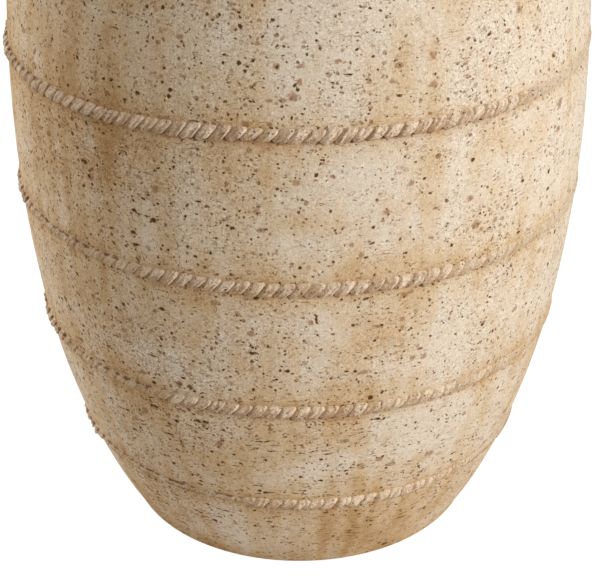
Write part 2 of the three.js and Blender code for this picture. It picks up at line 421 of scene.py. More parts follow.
# Cone over each mark, 1 - d / r and never below -1, with d stretched round the pot. A grid window holds it.
def markCones(marks, turnShare, height):
    cones = np.full((height.size, turnShare.size), -1.0)
    columns = turnShare.size
    for turn, middle, radius, longer in marks:
        around = 2.0 * math.pi * float(outerRadius(middle))
        window = radius * scatter["window"]
        rows = np.nonzero(np.abs(height - middle) < window)[0]
        if rows.size == 0:
            continue
        reach = int(math.ceil(window * longer / around * columns)) + 1
        nearest = int(round((turn - turnShare[0]) * columns))
        near = np.arange(nearest - reach, nearest + reach + 1) % columns
        across = (np.mod(turnShare[near] - turn + 0.5, 1.0) - 0.5) * around / longer
        away = np.hypot(across[None, :], (height[rows] - middle)[:, None])
        block = np.ix_(rows, near)
        cones[block] = np.maximum(cones[block], 1.0 - away / radius)
    return cones


chipMarks = scatterMarks(chips)
spotMarks = scatterMarks(spots)
print("marks:", len(chipMarks), "chips,", len(spotMarks), "spots")


# Closed grid: rows x columns of points that join on themselves both ways. The quads are turned round if the
# volume that they enclose, the sum of (a + b + c + d) . (c - a) x (d - b), is negative.
def closedGrid(name, points, values, material, node):
    rows, columns = points.shape[:2]
    here = np.arange(rows * columns).reshape(rows, columns)
    right = np.roll(here, -1, axis=1)
    above, aboveRight = np.roll(here, -1, axis=0), np.roll(right, -1, axis=0)
    quads = np.stack([here, right, aboveRight, above], axis=-1).reshape(-1, 4)
    flat = points.reshape(-1, 3)
    a, b, c, d = (flat[quads[:, corner]] for corner in range(4))
    if np.einsum("ij,ij->", a + b + c + d, np.cross(c - a, d - b)) < 0.0:
        quads = quads[:, ::-1]
    mesh = bpy.data.meshes.new(name)
    mesh.vertices.add(rows * columns)
    mesh.vertices.foreach_set("co", flat.astype(np.float32).ravel())
    mesh.loops.add(quads.size)
    mesh.loops.foreach_set("vertex_index", quads.astype(np.int32).ravel())
    mesh.polygons.add(len(quads))
    mesh.polygons.foreach_set("loop_start", np.arange(0, quads.size, 4, dtype=np.int32))
    mesh.polygons.foreach_set("use_smooth", np.ones(len(quads), dtype=bool))
    mesh.update(calc_edges=True)
    mesh.validate()
    for label, field in values.items():
        layer = mesh.attributes.new(label, "FLOAT", "POINT")
        layer.data.foreach_set("value", field.astype(np.float32).ravel())
    mesh.materials.append(material)
    piece = bpy.data.objects.new(name, mesh)
    bpy.context.collection.objects.link(piece)
    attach(piece, "root")
    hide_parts(node)


# Points along a straight run between two corners, with a close row beside each corner
def runBetween(start, end, steps):
    length = math.hypot(end[0] - start[0], end[1] - start[1])
    near = min(potShape["cornerRow"] / max(length, 1e-9), potShape["cornerShare"])
    shares = np.concatenate([[0.0, near], np.linspace(0, 1, steps + 1)[1:-1], [1.0 - near]])
    start, end = np.array(start), np.array(end)
    return start + (end - start) * shares[:, None]


# What the wall's fields hold, in millimetres: half a rope, and how far from a rope is far
ropeField = {"half": 5.5, "far": 40.0}


# Wall piece from a closed outline: (radius, height) rows, each with a share of outer relief and of inner
# relief, pushed along the outline's own normal
def wallPiece(name, outline, outerShare, innerShare, node, material):
    turnShare = np.arange(potShape["columns"]) / potShape["columns"]
    radius, height = outline[:, 0], outline[:, 1]
    along = np.roll(outline, -1, axis=0) - np.roll(outline, 1, axis=0)
    along /= np.maximum(np.hypot(along[:, 0], along[:, 1]), 1e-9)[:, None]
    turnGrid, heightGrid = turnShare[None, :], height[:, None]
    push = wallRelief(turnGrid, heightGrid) * outerShare[:, None]
    push = push + innerRelief(turnGrid, heightGrid) * innerShare[:, None]
    outside = (outerShare > 0.5)[:, None]
    chipCone = np.where(outside, markCones(chipMarks, turnShare, height), -1.0)
    spotCone = np.where(outside, markCones(spotMarks, turnShare, height), -1.0)
    push = push - chips["depth"] * smooth(*chips["edge"], chipCone) * outerShare[:, None]
    points = spunPoints(radius[:, None] + push * along[:, 1:], turnGrid, heightGrid - push * along[:, :1])
    away = ropeDistance(turnGrid, heightGrid) * perMetre
    nearest = np.argmin(np.abs(heightGrid - np.array(ropeHeights)), axis=1)
    worn = np.stack([wearShare(turnShare, number + 1) for number in range(len(ropeHeights))])
    values = {
        "worn": worn[nearest],
        "pale": paleShare(turnGrid, heightGrid),
        "crowd": patchSum(crowdPatches, degreesRight(turnGrid), heightGrid),
        "ropeAway": np.minimum(np.abs(away) - ropeField["half"], ropeField["far"]),
        "ropeSide": np.clip(away, -1.0, 1.0),
        "chip": chipCone,
        "spot": spotCone,
        "bare": np.broadcast_to((1.0 - outerShare)[:, None], chipCone.shape),
    }
    closedGrid(name, points, values, material, node)


# Outer rows between two heights, evenly spaced, on the outer face
def outerRows(low, high):
    steps = min(int(math.ceil((high - low) / potShape["rowStep"])), potShape["mostSteps"])
    heights = np.linspace(low, high, steps + 1)
    return np.stack([outerRadius(heights), heights], axis=1)


# Inner rows from a height down to another, on the inner face, with a close row beside each end
def innerRows(high, low):
    steps = int(math.ceil((high - low) / potShape["innerRowStep"]))
    between, edge = np.linspace(high, low, steps + 1)[1:-1], potShape["edgeRow"]
    heights = np.concatenate([[high, high - edge], between, [low + edge, low]])
    return np.stack([innerRadius(heights), heights], axis=1)


# Shares for a stack of stretches: (rows, outer share, inner share), each a number or a pair for its two ends
def joinStretches(stretches):
    rows = np.concatenate([stretch[0] for stretch in stretches])

    def sharesOf(which):
        parts = []
        for stretch in stretches:
            value = stretch[which]
            first, last = value if isinstance(value, tuple) else (value, value)
            parts.append(np.linspace(first, last, len(stretch[0])))
        return np.concatenate(parts)

    return rows, sharesOf(1), sharesOf(2)


fadeOut, fadeIn = (0.9, 0.0), (0.0, 0.9)


# Stretch in along an upper seam, from the outer relief to the inner one
def upperSeam(outer, inner):
    return runBetween(outer, inner, potShape["seamSteps"])[1:], fadeOut, fadeIn


# Ring of the wall: up the outer face, in along the upper seam, down the inner face, out along the lower seam
def makeRing(name, node, low, high, material):
    lowOuter, lowInner = seamEdges(low, 1)
    highOuter, highInner = seamEdges(high, -1)
    stretches = joinStretches([
        (outerRows(lowOuter[1], highOuter[1]), 1.0, 0.0),
        upperSeam(highOuter, highInner),
        (innerRows(highInner[1], lowInner[1]), 0.0, 1.0),
        (runBetween(lowInner, lowOuter, potShape["seamSteps"])[1:], fadeIn, fadeOut),
    ])
    wallPiece(name, *stretches, node, material)


# Arc from one direction to another, both ends included: centre + r (cos t, sin t)
def arcRows(centre, radius, start, end, steps):
    turn = np.linspace(start, end, steps + 1)
    return np.stack([centre[0] + radius * np.cos(turn), centre[1] + radius * np.sin(turn)], axis=1)


# Cubic Bezier curve: (1-t)^3 a + 3 t (1-t)^2 b + 3 t^2 (1-t) c + t^3 d
def bezierRows(a, b, c, d, steps):
    t = np.linspace(0.0, 1.0, steps + 1)[:, None]
    a, b, c, d = (np.array(point) for point in (a, b, c, d))
    return (1 - t) ** 3 * a + 3 * t * (1 - t) ** 2 * b + 3 * t**2 * (1 - t) * c + t**3 * d


footShape = {
    "edgeHeight": 0.004,
    "flatWidth": 0.024,
    "recess": 0.007,
    "floorThickness": 0.016,
    "seat": 0.0003,
    "overFloor": 0.001,
    "edgeSteps": 10,
    "besideFloorSteps": 3,
    "ledgeSteps": 4,
    "recessSteps": 3,
    "flatSteps": 6,
}
floorBottom = footShape["recess"] + footShape["seat"]
floorTop = floorBottom + footShape["floorThickness"]


# Foot: rounded edge, flank up to the first seam, down the inner face to the ledge, and the flat underside
def makeFoot(material):
    f = footShape
    radius, lean, rise = (float(value) for value in wallFrame(f["edgeHeight"]))
    edgeRadius = f["edgeHeight"] / (1.0 - lean)
    centre = (radius - rise * edgeRadius, f["edgeHeight"] + lean * edgeRadius)
    edge = arcRows(centre, edgeRadius, -math.pi / 2.0, math.atan2(-lean, rise), f["edgeSteps"])
    highOuter, highInner = seamEdges(ropeHeights[0], -1)
    ledge = edge[0][0] - f["flatWidth"]
    besideTop = (float(innerRadius(floorTop)), floorTop)
    besideLedge = (float(innerRadius(f["recess"])), f["recess"])
    stretches = joinStretches([
        (edge[:-1], (0.0, 1.0), 0.0),
        (outerRows(f["edgeHeight"], highOuter[1]), 1.0, 0.0),
        upperSeam(highOuter, highInner),
        (innerRows(highInner[1], floorTop + f["overFloor"]), 0.0, (1.0, 0.0)),
        (runBetween(besideTop, besideLedge, f["besideFloorSteps"]), 0.0, 0.0),
        (runBetween(besideLedge, (ledge, f["recess"]), f["ledgeSteps"]), 0.0, 0.0),
        (runBetween((ledge, f["recess"]), (ledge, 0.0), f["recessSteps"]), 0.0, 0.0),
        (runBetween((ledge, 0.0), tuple(edge[0]), f["flatSteps"]), 0.0, 0.0),
    ])
    wallPiece("footWall", *stretches, "foot_ring", material)


floorShape = {
    "drainRadius": 0.014,
    "spiral": 0.0004,
    "spiralPitch": 0.011,
    "holeBlend": 0.006,
    "holeFall": 0.0012,
    "rimBlend": 0.008,
    "topBlend": 0.0002,
    "columns": 480,
    "underSteps": 8,
    "edgeSteps": 4,
    "topSteps": 70,
}


# Floor: a flat disc with a drain hole, and a finger spiral on top, a (cos(2 pi (r / p - turn)) - 1)
def makeFloor(material):
    f, hole = floorShape, floorShape["drainRadius"]
    lowEdge, highEdge = (float(innerRadius(level)) - footShape["seat"] for level in (floorBottom, floorTop))
    rows = np.concatenate([
        runBetween((hole, floorBottom), (lowEdge, floorBottom), f["underSteps"]),
        runBetween((lowEdge, floorBottom), (highEdge, floorTop), f["edgeSteps"]),
        runBetween((highEdge, floorTop), (hole, floorTop), f["topSteps"]),
        runBetween((hole, floorTop), (hole, floorBottom), f["edgeSteps"]),
    ])
    turnShare = (np.arange(f["columns"]) / f["columns"])[None, :]
    radius, height = rows[:, :1], rows[:, 1:]
    top = smooth(floorTop - f["topBlend"], floorTop, height)
    inner = smooth(hole, hole + f["holeBlend"], radius)
    outer = 1.0 - smooth(highEdge - f["rimBlend"], highEdge, radius)
    spiral = f["spiral"] * (np.cos(2.0 * np.pi * (radius / f["spiralPitch"] - turnShare)) - 1.0)
    lift = top * (spiral * inner * outer - f["holeFall"] * (1.0 - inner) ** 2)
    points = spunPoints(radius, turnShare, height + lift)
    values = {"bare": np.ones(points.shape[:2])}
    closedGrid("floorDisc", points, values, material, "floor_disc")


lipShape = {
    "radius": 0.015,
    "standOut": 0.002,
    "start": -106.0,
    "end": 174.0,
    "waistDraw": 0.0025,
    "waistLean": 0.0004,
    "waistPull": 0.0012,
    "throatPull": (0.012, 0.009),
    "lipSteps": 62,
    "neckSteps": 8,
    "throatSteps": 12,
    "lipRelief": 0.3,
    "throatRelief": 0.6,
}


# Collar: from the shoulder in to a waist, round the rolled lip, and down the throat to the seam
def makeLip(material):
    s = lipShape
    lowOuter, lowInner = seamEdges(neckHeight, 1)
    centre = (potShape["neckRadius"] + s["standOut"], potShape["height"] - s["radius"])
    lip = arcRows(centre, s["radius"], math.radians(s["start"]), math.radians(s["end"]), s["lipSteps"])
    waist, pull = potShape["neckRadius"] - s["waistDraw"], s["waistPull"]
    lowWaist, highWaist = (waist, lowOuter[1] + pull), (waist - s["waistLean"], lip[0][1] - pull)
    neck = bezierRows(lowOuter, lowWaist, highWaist, lip[0], s["neckSteps"])
    throatRadius, throatTop = lip[-1]
    highPull, lowPull = s["throatPull"]
    highThroat, lowThroat = (throatRadius, throatTop - highPull), (throatRadius, lowInner[1] + lowPull)
    throat = bezierRows(lip[-1], highThroat, lowThroat, lowInner, s["throatSteps"])
    stretches = joinStretches([
        (neck[:-1], 1.0, 0.0),
        (lip[:-1], (1.0, s["lipRelief"]), 0.0),
        (throat, (s["lipRelief"], 0.0), (0.0, s["throatRelief"])),
        (runBetween(lowInner, lowOuter, potShape["seamSteps"])[1:], 0.0, 0.0),
    ])
    wallPiece("lipCollar", *stretches, "lip_collar", material)


# Rope of twisted clay, pressed on the wall. A strand's own width runs from 0 at its left to 1 at its right,
# and the rope's front from -1 at its lower edge to 1 at its upper. A pair is the range of a strand's own
# value, or where a blend starts and ends.
ropeShape = {
    "width": 0.0118,
    "relief": 0.0046,
    "pitch": 0.0109,
    "strandStep": 4,
    "columnsPerStrand": 20,
    "frontRows": 21,
    "seed": 61,
    "edgeSink": 0.0002,
    "crestSink": 0.00015,
    "lean": 0.0092,
    "turnBack": 0.40,
    "turnBackFrom": 0.35,
    "sway": (-0.08, 0.08),
    # The climb out of the valley at a strand's left to its worn pad, the ridge and the fall at its right
    "valley": (0.0, 0.08),
    "valleyBelow": 0.12,
    "climb": (0.12, 0.26),
    "climbBelow": 0.10,
    "crevice": (0.10, 0.90),
    "ridgePlace": 0.85,
    "ridgeLean": 0.05,
    "ridgeHalf": 0.06,
    "swell": (-0.34, 0.08),
    "swellWear": (0.6, 0.9),
    "crestParts": (0.54, 0.40, 0.12),
    "groove": 0.50,
    # The outline: rounded ends, fat and lean strands, frayed lower edge, unsteady line
    "endPeaks": (0.66, 0.34),
    "endPowers": (2.6, 0.55),
    "endReach": 1.5,
    "endParts": (0.66, 0.34),
    "fatness": (-0.16, 0.06),
    "fatNoise": 0.05,
    "fatCells": (60, 72),
    "fray": 0.16,
    "frayCells": (5, 102),
    "unsteady": 0.0005,
    "unsteadyCells": (37, 62),
    "offset": (-0.0003, 0.0003),
    # The dome over the front, for fresh clay above and below the middle and for worn clay
    "domeAbove": (2.0, 0.8),
    "domeBelow": (2.8, 0.5),
    "domeWorn": (2.0, 1.4),
    # Lumps, drawn-out streaks and crumbs: noise cells for each strand, the height of one, and how much
    "lumpCells": ((6.0, 0.0018, 82), (2.5, 0.0036, 92)),
    "streakCells": ((7.0, 0.010, 112),),
    "crumbCells": ((13.0, 0.0008, 132),),
    "lump": 0.10,
    "streak": 0.11,
    "crumb": 0.10,
    "noiseMiddle": 0.02,
    "streakMiddle": 0.05,
    "noiseHalf": 0.006,
    "paleHalf": 0.005,
    # What wear takes away
    "wearNoise": 0.12,
    "wearCells": (40, 52),
    "wornFlat": 0.72,
    "wornGroove": 0.55,
    "wornRidge": 0.6,
    "wornEnd": 0.5,
    "wornTop": 0.16,
    "wornDome": (0.2, 0.8),
    # Torn gaps below, and dashes above on the left of a turn
    "between": 1.9,
    "lowGap": (-0.34, 1.3),
    "lowGapWear": 0.5,
    "lowGapRange": (-0.08, 0.62),
    "dashesLeftOf": (-10.0, -28.0, -30.0, -50.0, -70.0),
    "dashFade": (8.0, 4.0),
    "dash": (0.42, 0.52),
    "dashLeast": -0.04,
    "notch": 0.20,
    "notchCells": (3.4, 122),
    "notchRange": (0.0, 0.22),
    "dashPlace": 0.74,
    "dashHalf": 0.11,
    "dashEdge": 1.7,
    "backRows": (0.6, 0.0, -0.6),
    "backWidth": 0.4,
    "backLean": 0.3,
}
# How far each rope is worn down, from 0 to 1, at a turn in degrees to the right of the front
ropeWear = (
    (
        (-180, 0.3), (-120, 0.4), (-72, 0.25), (-62, 0.4), (-54, 0.85), (-28, 0.95), (-14, 0.55),
        (-8, 0.1), (28, 0.1), (36, 0.5), (50, 0.85), (90, 0.9),
    ),
    (
        (-180, 0.4), (-130, 0.2), (-84, 0.2), (-66, 0.3), (-54, 0.6), (-42, 0.72), (-30, 0.6), (-24, 0.1),
        (8, 0.08), (32, 0.5), (50, 0.75), (90, 0.85),
    ),
    (
        (-180, 0.2), (-120, 0.4), (-84, 0.2), (-70, 0.35), (-60, 0.7), (-32, 0.5), (-26, 0.08),
        (24, 0.08), (32, 0.45), (48, 0.75), (90, 0.85),
    ),
    (
        (-180, 0.5), (-140, 0.2), (-86, 0.2), (-70, 0.4), (-58, 0.5), (-50, 0.35), (-44, 0.08), (38, 0.1),
        (46, 0.5), (56, 0.9), (90, 0.95),
    ),
    (
        (-180, 0.3), (-100, 0.5), (-40, 0.15), (20, 0.4), (70, 0.1), (130, 0.5),
    ),
)


# Noise along a rope, the pot's noise on one row of tall cells. Cells are how many, for the whole rope or for
# each strand, and the seed.
def ropeNoise(turnShare, number, cells, strands=1):
    count, seed = cells
    height, cellHeight = noiseLattice["oneRow"]
    return potNoise(turnShare, height, int(strands * count), cellHeight, seed + number)


# Wear at each turn: straight lines through the given points, shaken by a noise a n
def wearShare(turnShare, number):
    points = np.array(ropeWear[number - 1], dtype=float)
    wear = np.interp(degreesRight(turnShare), points[:, 0], points[:, 1], period=360.0)
    noise = ropeNoise(turnShare, number, ropeShape["wearCells"])
    return np.clip(wear + ropeShape["wearNoise"] * noise, 0.0, 1.0)


# Rounded end of a strand at a share a along it, highest at p: (1 - t^m)^n, t from 0 at p to 1 at its ends
def strandEnd(a, peak):
    power, root = ropeShape["endPowers"]
    t = np.where(a < peak, (peak - a) / peak, (a - peak) / (1.0 - peak))
    return np.maximum(1.0 - t**power, 0.0) ** root


# One rope's columns, which follow its strands, with a seeded draw of one value for each strand
def startRope(number, radius):
    s = ropeShape
    strands = s["strandStep"] * round(2.0 * math.pi * (radius + s["relief"]) / s["pitch"] / s["strandStep"])
    perStrand = s["columnsPerStrand"]
    column = np.arange(strands * perStrand)
    random, strand = np.random.default_rng(s["seed"] + number), column // perStrand
    across = np.sin(np.linspace(-0.5, 0.5, s["frontRows"]) * math.pi)[:, None]
    turn = (column - perStrand / 2.0) / column.size
    return {
        "number": number,
        "strands": strands,
        "a": (column % perStrand + 0.5) / perStrand,
        "across": across,
        "low": 0.5 - 0.5 * across,
        "turn": turn,
        "wear": wearShare(turn, number),
        "draw": lambda low, high: random.uniform(low, high, strands)[strand],
    }


# Height of the strands, 0 to 1: valley, climb to the pad, ridge exp(-((a - p) / h)^2), all cut off by the
# crevices, and mixed with a plain front as 1 - g + g crest
def strandCrest(rope):
    s, a, low, wear = ropeShape, rope["a"], rope["low"], rope["wear"]
    valley = rope["draw"](*s["valley"]) + s["valleyBelow"] * low
    pad = smooth(valley, valley + rope["draw"](*s["climb"]) + s["climbBelow"] * low, a)
    left, right = s["crevice"]
    crevice = smooth(0.0, left, a) * (1.0 - smooth(right, 1.0, a))
    ridge = np.exp(-(((a - s["ridgePlace"] + s["ridgeLean"] * rope["across"]) / s["ridgeHalf"]) ** 2))
    ridge = ridge * (1.0 - s["wornRidge"] * wear)
    steady, worn = s["swellWear"]
    swell = rope["draw"](*s["swell"]) * (steady + worn * wear)
    groove = s["groove"] * (1.0 - s["wornGroove"] * wear)
    plain, padPart, ridgePart = s["crestParts"]
    crest = np.minimum((1.0 + swell) * (plain + padPart * pad + ridgePart * ridge) * crevice, 1.0)
    return pad, crevice, ridge, crest * groove + (1.0 - groove)


# How high up the wall each point of the front lies: c w / 2, drawn in at the strands' rounded ends, fatter or
# leaner by strand, frayed below, less at a worn top, and moved by the unsteady line and the dip
def ropeRise(rope):
    s, a, across, wear, turn = ropeShape, rope["a"], rope["across"], rope["wear"], rope["turn"]
    number = rope["number"]
    highPeak, lowPeak = s["endPeaks"]
    ends = np.where(across > 0.0, strandEnd(a, highPeak), strandEnd(a, lowPeak))
    ends = 1.0 - (1.0 - ends) * np.abs(across) ** s["endReach"] * (1.0 - s["wornEnd"] * wear)
    uneven = 1.0 + s["fatNoise"] * ropeNoise(turn, number, s["fatCells"])
    fatness = (1.0 + rope["draw"](*s["fatness"])) * uneven
    fray = 1.0 + s["fray"] * ropeNoise(turn, number, s["frayCells"], rope["strands"]) * rope["low"]
    inner, outer = s["endParts"]
    rise = across * s["width"] / 2.0 * (inner + outer * ends) * fatness * fray
    rise = rise * (1.0 - s["wornTop"] * wear * smooth(0.0, 1.0, across))
    rise = rise + s["unsteady"] * ropeNoise(turn, number, s["unsteadyCells"]) + rope["draw"](*s["offset"])
    return rise + ropeDip(turn, number)


# Dome over the front, (1 - |c|^m)^n, with other powers below and for worn clay
def ropeDome(rope):
    s, distance = ropeShape, np.abs(rope["across"])
    powers = (s["domeAbove"], s["domeBelow"], s["domeWorn"])
    above, below, worn = ((1.0 - distance**power) ** root for power, root in powers)
    dome = np.where(rope["across"] > 0.0, above, below)
    return dome + (worn - dome) * smooth(*s["wornDome"], rope["wear"])


# Sum of a rope's noises, whose cells are given for each strand, over the rope's front
def frontNoise(rope, layers, middle):
    height = middle + rope["across"] * ropeShape["noiseHalf"]
    return sum(
        potNoise(rope["turn"], height, int(rope["strands"] * cells), cellHeight, seed + rope["number"])
        for cells, cellHeight, seed in layers
    )


# Where the wall shows through: torn gaps between the strands' lower ends, and a broken line of dashes above
# them on the left. Positive inside a gap.
def ropeGaps(rope):
    s, a, across, turn = ropeShape, rope["a"], rope["across"], rope["turn"]
    between = s["between"] * np.minimum(a, 1.0 - a)
    start, steep = s["lowGap"]
    lowGap = (-across + start) * steep - between - s["lowGapWear"] * rope["wear"]
    lowGap = lowGap - rope["draw"](*s["lowGapRange"])
    end, (before, after) = s["dashesLeftOf"][rope["number"] - 1], s["dashFade"]
    right = smooth(end - before, end + after, degreesRight(turn))
    notch = s["notch"] * ropeNoise(turn, rope["number"], s["notchCells"], rope["strands"])
    notch = notch - rope["draw"](*s["notchRange"])
    offLine = s["dashEdge"] * np.maximum(np.abs(across - s["dashPlace"]) - s["dashHalf"], 0.0)
    full, fall = s["dash"]
    return np.maximum(lowGap, np.maximum(full - fall * between + notch, s["dashLeast"]) - offLine - right)


# Rope: at a share c across, the strands lean by L (c / 2 - k max(|c| - e, 0)^2 sign c) and sway by
# b sin(pi a) dome. They stand out of the wall by relief x dome x crest x roughness, less where worn, and
# follow the wall's own relief. Three rows behind close the band.
def makeRope(number, height, material):
    s = ropeShape
    radius, leanPart, risePart = (float(value) for value in wallFrame(height))
    rope = startRope(number, radius)
    across, turn, wear = rope["across"], rope["turn"], rope["wear"]
    pad, crevice, ridge, crest = strandCrest(rope)
    rise, dome = ropeRise(rope), ropeDome(rope)
    streak = frontNoise(rope, s["streakCells"], s["streakMiddle"])
    rough = 1.0 + s["lump"] * frontNoise(rope, s["lumpCells"], s["noiseMiddle"]) + s["streak"] * streak
    rough = rough + s["crumb"] * frontNoise(rope, s["crumbCells"], s["noiseMiddle"])
    stand = s["relief"] * (1.0 - s["wornFlat"] * wear) * dome * crest * rough
    stand = np.minimum(stand - s["crestSink"] * dome, s["relief"]) - s["edgeSink"]
    turnedBack = np.maximum(np.abs(across) - s["turnBackFrom"], 0.0) ** 2 * np.sign(across)
    sway = rope["draw"](*s["sway"]) * np.sin(math.pi * rope["a"]) * dome
    lean = across / 2.0 - s["turnBack"] * turnedBack + sway
    gap = ropeGaps(rope)

    back = np.array(s["backRows"])[:, None] + np.zeros(turn.size)
    rise = np.concatenate([rise, back * s["width"] * s["backWidth"]])
    stand = np.concatenate([stand, np.full(back.shape, -s["edgeSink"])])
    lean = np.concatenate([lean, back * s["backLean"]])
    leaned = turn + s["lean"] * lean / (2.0 * math.pi * radius)
    stand = stand + wallRelief(leaned, height + risePart * rise)
    spun = radius + leanPart * rise + risePart * stand
    points = spunPoints(spun, leaned, height + risePart * rise - leanPart * stand)

    def withBack(front, behind):
        front = np.broadcast_to(front, (len(across), turn.size))
        return np.concatenate([front, np.full(back.shape, behind)])

    values = {
        "groove": withBack(1.0 - crevice, 1.0),
        "pad": withBack(pad, 0.0),
        "edge": withBack(across, 0.0),
        "gap": withBack(gap, -1.0),
        "wear": withBack(wear, 1.0),
        "strand": withBack(rope["draw"](0.0, 1.0), 0.5),
        "streak": withBack(streak, 0.0),
        "ridge": withBack(ridge, 0.0),
        "pale": withBack(paleShare(turn[None, :], height + across * s["paleHalf"]), 0.5),
    }
    closedGrid(f"clayRope{number}", points, values, material, f"rope_band_{number}")


# Colour as a paint chart gives it (0 to 255) to the linear values that a shader takes: c / 12.92 where dark,
# and ((c + 0.055) / 1.055)^2.4 elsewhere
def paint(red, green, blue):
    values = []
    for part in (red, green, blue):
        share = part / 255.0
        values.append(share / 12.92 if share <= 0.04045 else ((share + 0.055) / 1.055) ** 2.4)
    return (*values, 1.0)


def startMaterial(name):
    material = bpy.data.materials.new(name)
    material.use_nodes = True
    material.node_tree.nodes.clear()
    return material, material.node_tree


def addNode(tree, kind, inputs, **settings):
    node = tree.nodes.new("ShaderNode" + kind)
    for label, value in settings.items():
        setattr(node, label, value)
    for label, value in inputs.items():
        if isinstance(value, bpy.types.NodeSocket):
            tree.links.new(value, node.inputs[label])
        else:
            node.inputs[label].default_value = value
    return node


def calc(tree, operation, first, second=0.0):
    return addNode(tree, "Math", {0: first, 1: second}, operation=operation).outputs[0]


def plus(tree, first, second):
    return calc(tree, "ADD", first, second)


def minus(tree, first, second):
    return calc(tree, "SUBTRACT", first, second)


def times(tree, first, second):
    return calc(tree, "MULTIPLY", first, second)


# A noise's distance from its middle, n - 0.5
def centred(tree, noise):
    return minus(tree, noise, 0.5)


# Start + the sum of value x amount
def addParts(tree, start, parts):
    for value, amount in parts:
        start = plus(tree, start, times(tree, value, amount))
    return start


def readValue(tree, label):
    return addNode(tree, "Attribute", {}, attribute_name=label).outputs["Fac"]


# Smooth step of a value from one level to another, as a mask from 0 to 1
def stepMask(tree, value, low, high):
    inputs = {"Value": value, "From Min": low, "From Max": high}
    return addNode(tree, "MapRange", inputs, interpolation_type="SMOOTHSTEP").outputs[0]


# A value stretched from one range to another, held at its ends
def spread(tree, value, fromLow, fromHigh, low, high):
    inputs = {"Value": value, "From Min": fromLow, "From Max": fromHigh, "To Min": low, "To Max": high}
    return addNode(tree, "MapRange", inputs).outputs[0]


# Falls from 1 with distance, exp(d / w) with a negative width w
def fallOff(tree, distance, width):
    return calc(tree, "EXPONENT", calc(tree, "DIVIDE", distance, width))


def blendColour(tree, share, first, second, kind="MIX"):
    node = addNode(tree, "Mix", {0: share, 6: first, 7: second}, data_type="RGBA", blend_type=kind)
    return node.outputs[2]


# Place for a pattern that is flatter than it is wide, by the factor given
def flattened(tree, place, flatter):
    return addNode(tree, "Mapping", {"Vector": place, "Scale": (1.0, 1.0, flatter)}).outputs["Vector"]


def noiseValue(tree, place, scale, detail, roughness, flatter=None, output="Fac"):
    if flatter:
        place = flattened(tree, place, flatter)
    inputs = {"Vector": place, "Scale": scale, "Detail": detail, "Roughness": roughness}
    return addNode(tree, "TexNoise", inputs).outputs[output]


shakeNoise = (2.0, 0.6)


# Place shaken by a noise, so that what follows has torn edges: p + a (n - 0.5)
def shaken(tree, place, scale, amount):
    colour = noiseValue(tree, place, scale, *shakeNoise, output="Color")
    offset = addNode(tree, "VectorMath", {0: colour, 1: (0.5, 0.5, 0.5)}, operation="SUBTRACT").outputs[0]
    scaled = addNode(tree, "VectorMath", {0: offset, "Scale": amount}, operation="SCALE").outputs[0]
    return addNode(tree, "VectorMath", {0: place, 1: scaled}, operation="ADD").outputs[0]


# Matte clay, with a lift in millimetres as bump
def finishMaterial(tree, colour, roughness, lift, strength):
    bump = addNode(tree, "Bump", {"Height": lift, "Distance": 1.0 / perMetre, "Strength": strength})
    inputs = {"Base Color": colour, "Roughness": roughness, "Specular IOR Level": 0.22}
    shader = addNode(tree, "BsdfPrincipled", {**inputs, "Normal": bump.outputs[0]})
    addNode(tree, "OutputMaterial", {"Surface": shader.outputs[0]}).is_active_output = True


speckShape = {"sizePower": 1.6, "faintest": 0.45, "black": (0.35, 0.75), "wide": (-1.2, 0.4)}


# Specks: one in each cell of a cell pattern, present in a share of the cells, with its own size and strength.
# Gives a dark core mask, for the stronger ones only, and a wider soft mask.
def specks(tree, place, cells, kept, smallest, largest, soft):
    s = speckShape
    cell = addNode(tree, "TexVoronoi", {"Vector": place, "Scale": cells, "Randomness": 1.0})
    parts = addNode(tree, "SeparateColor", {"Color": cell.outputs["Color"]})
    present = calc(tree, "GREATER_THAN", kept, parts.outputs[0])
    size = spread(tree, calc(tree, "POWER", parts.outputs[1], s["sizePower"]), 0.0, 1.0, smallest, largest)
    inside = minus(tree, size, cell.outputs["Distance"])
    strength = times(tree, present, spread(tree, parts.outputs[2], 0.0, 1.0, s["faintest"], 1.0))
    black = times(tree, present, spread(tree, parts.outputs[2], *s["black"], 0.0, 1.0))
    core = times(tree, stepMask(tree, inside, 0.0, soft), black)
    wideFrom, wideTo = s["wide"]
    wide = times(tree, stepMask(tree, inside, soft * wideFrom, soft * wideTo), strength)
    return core, wide


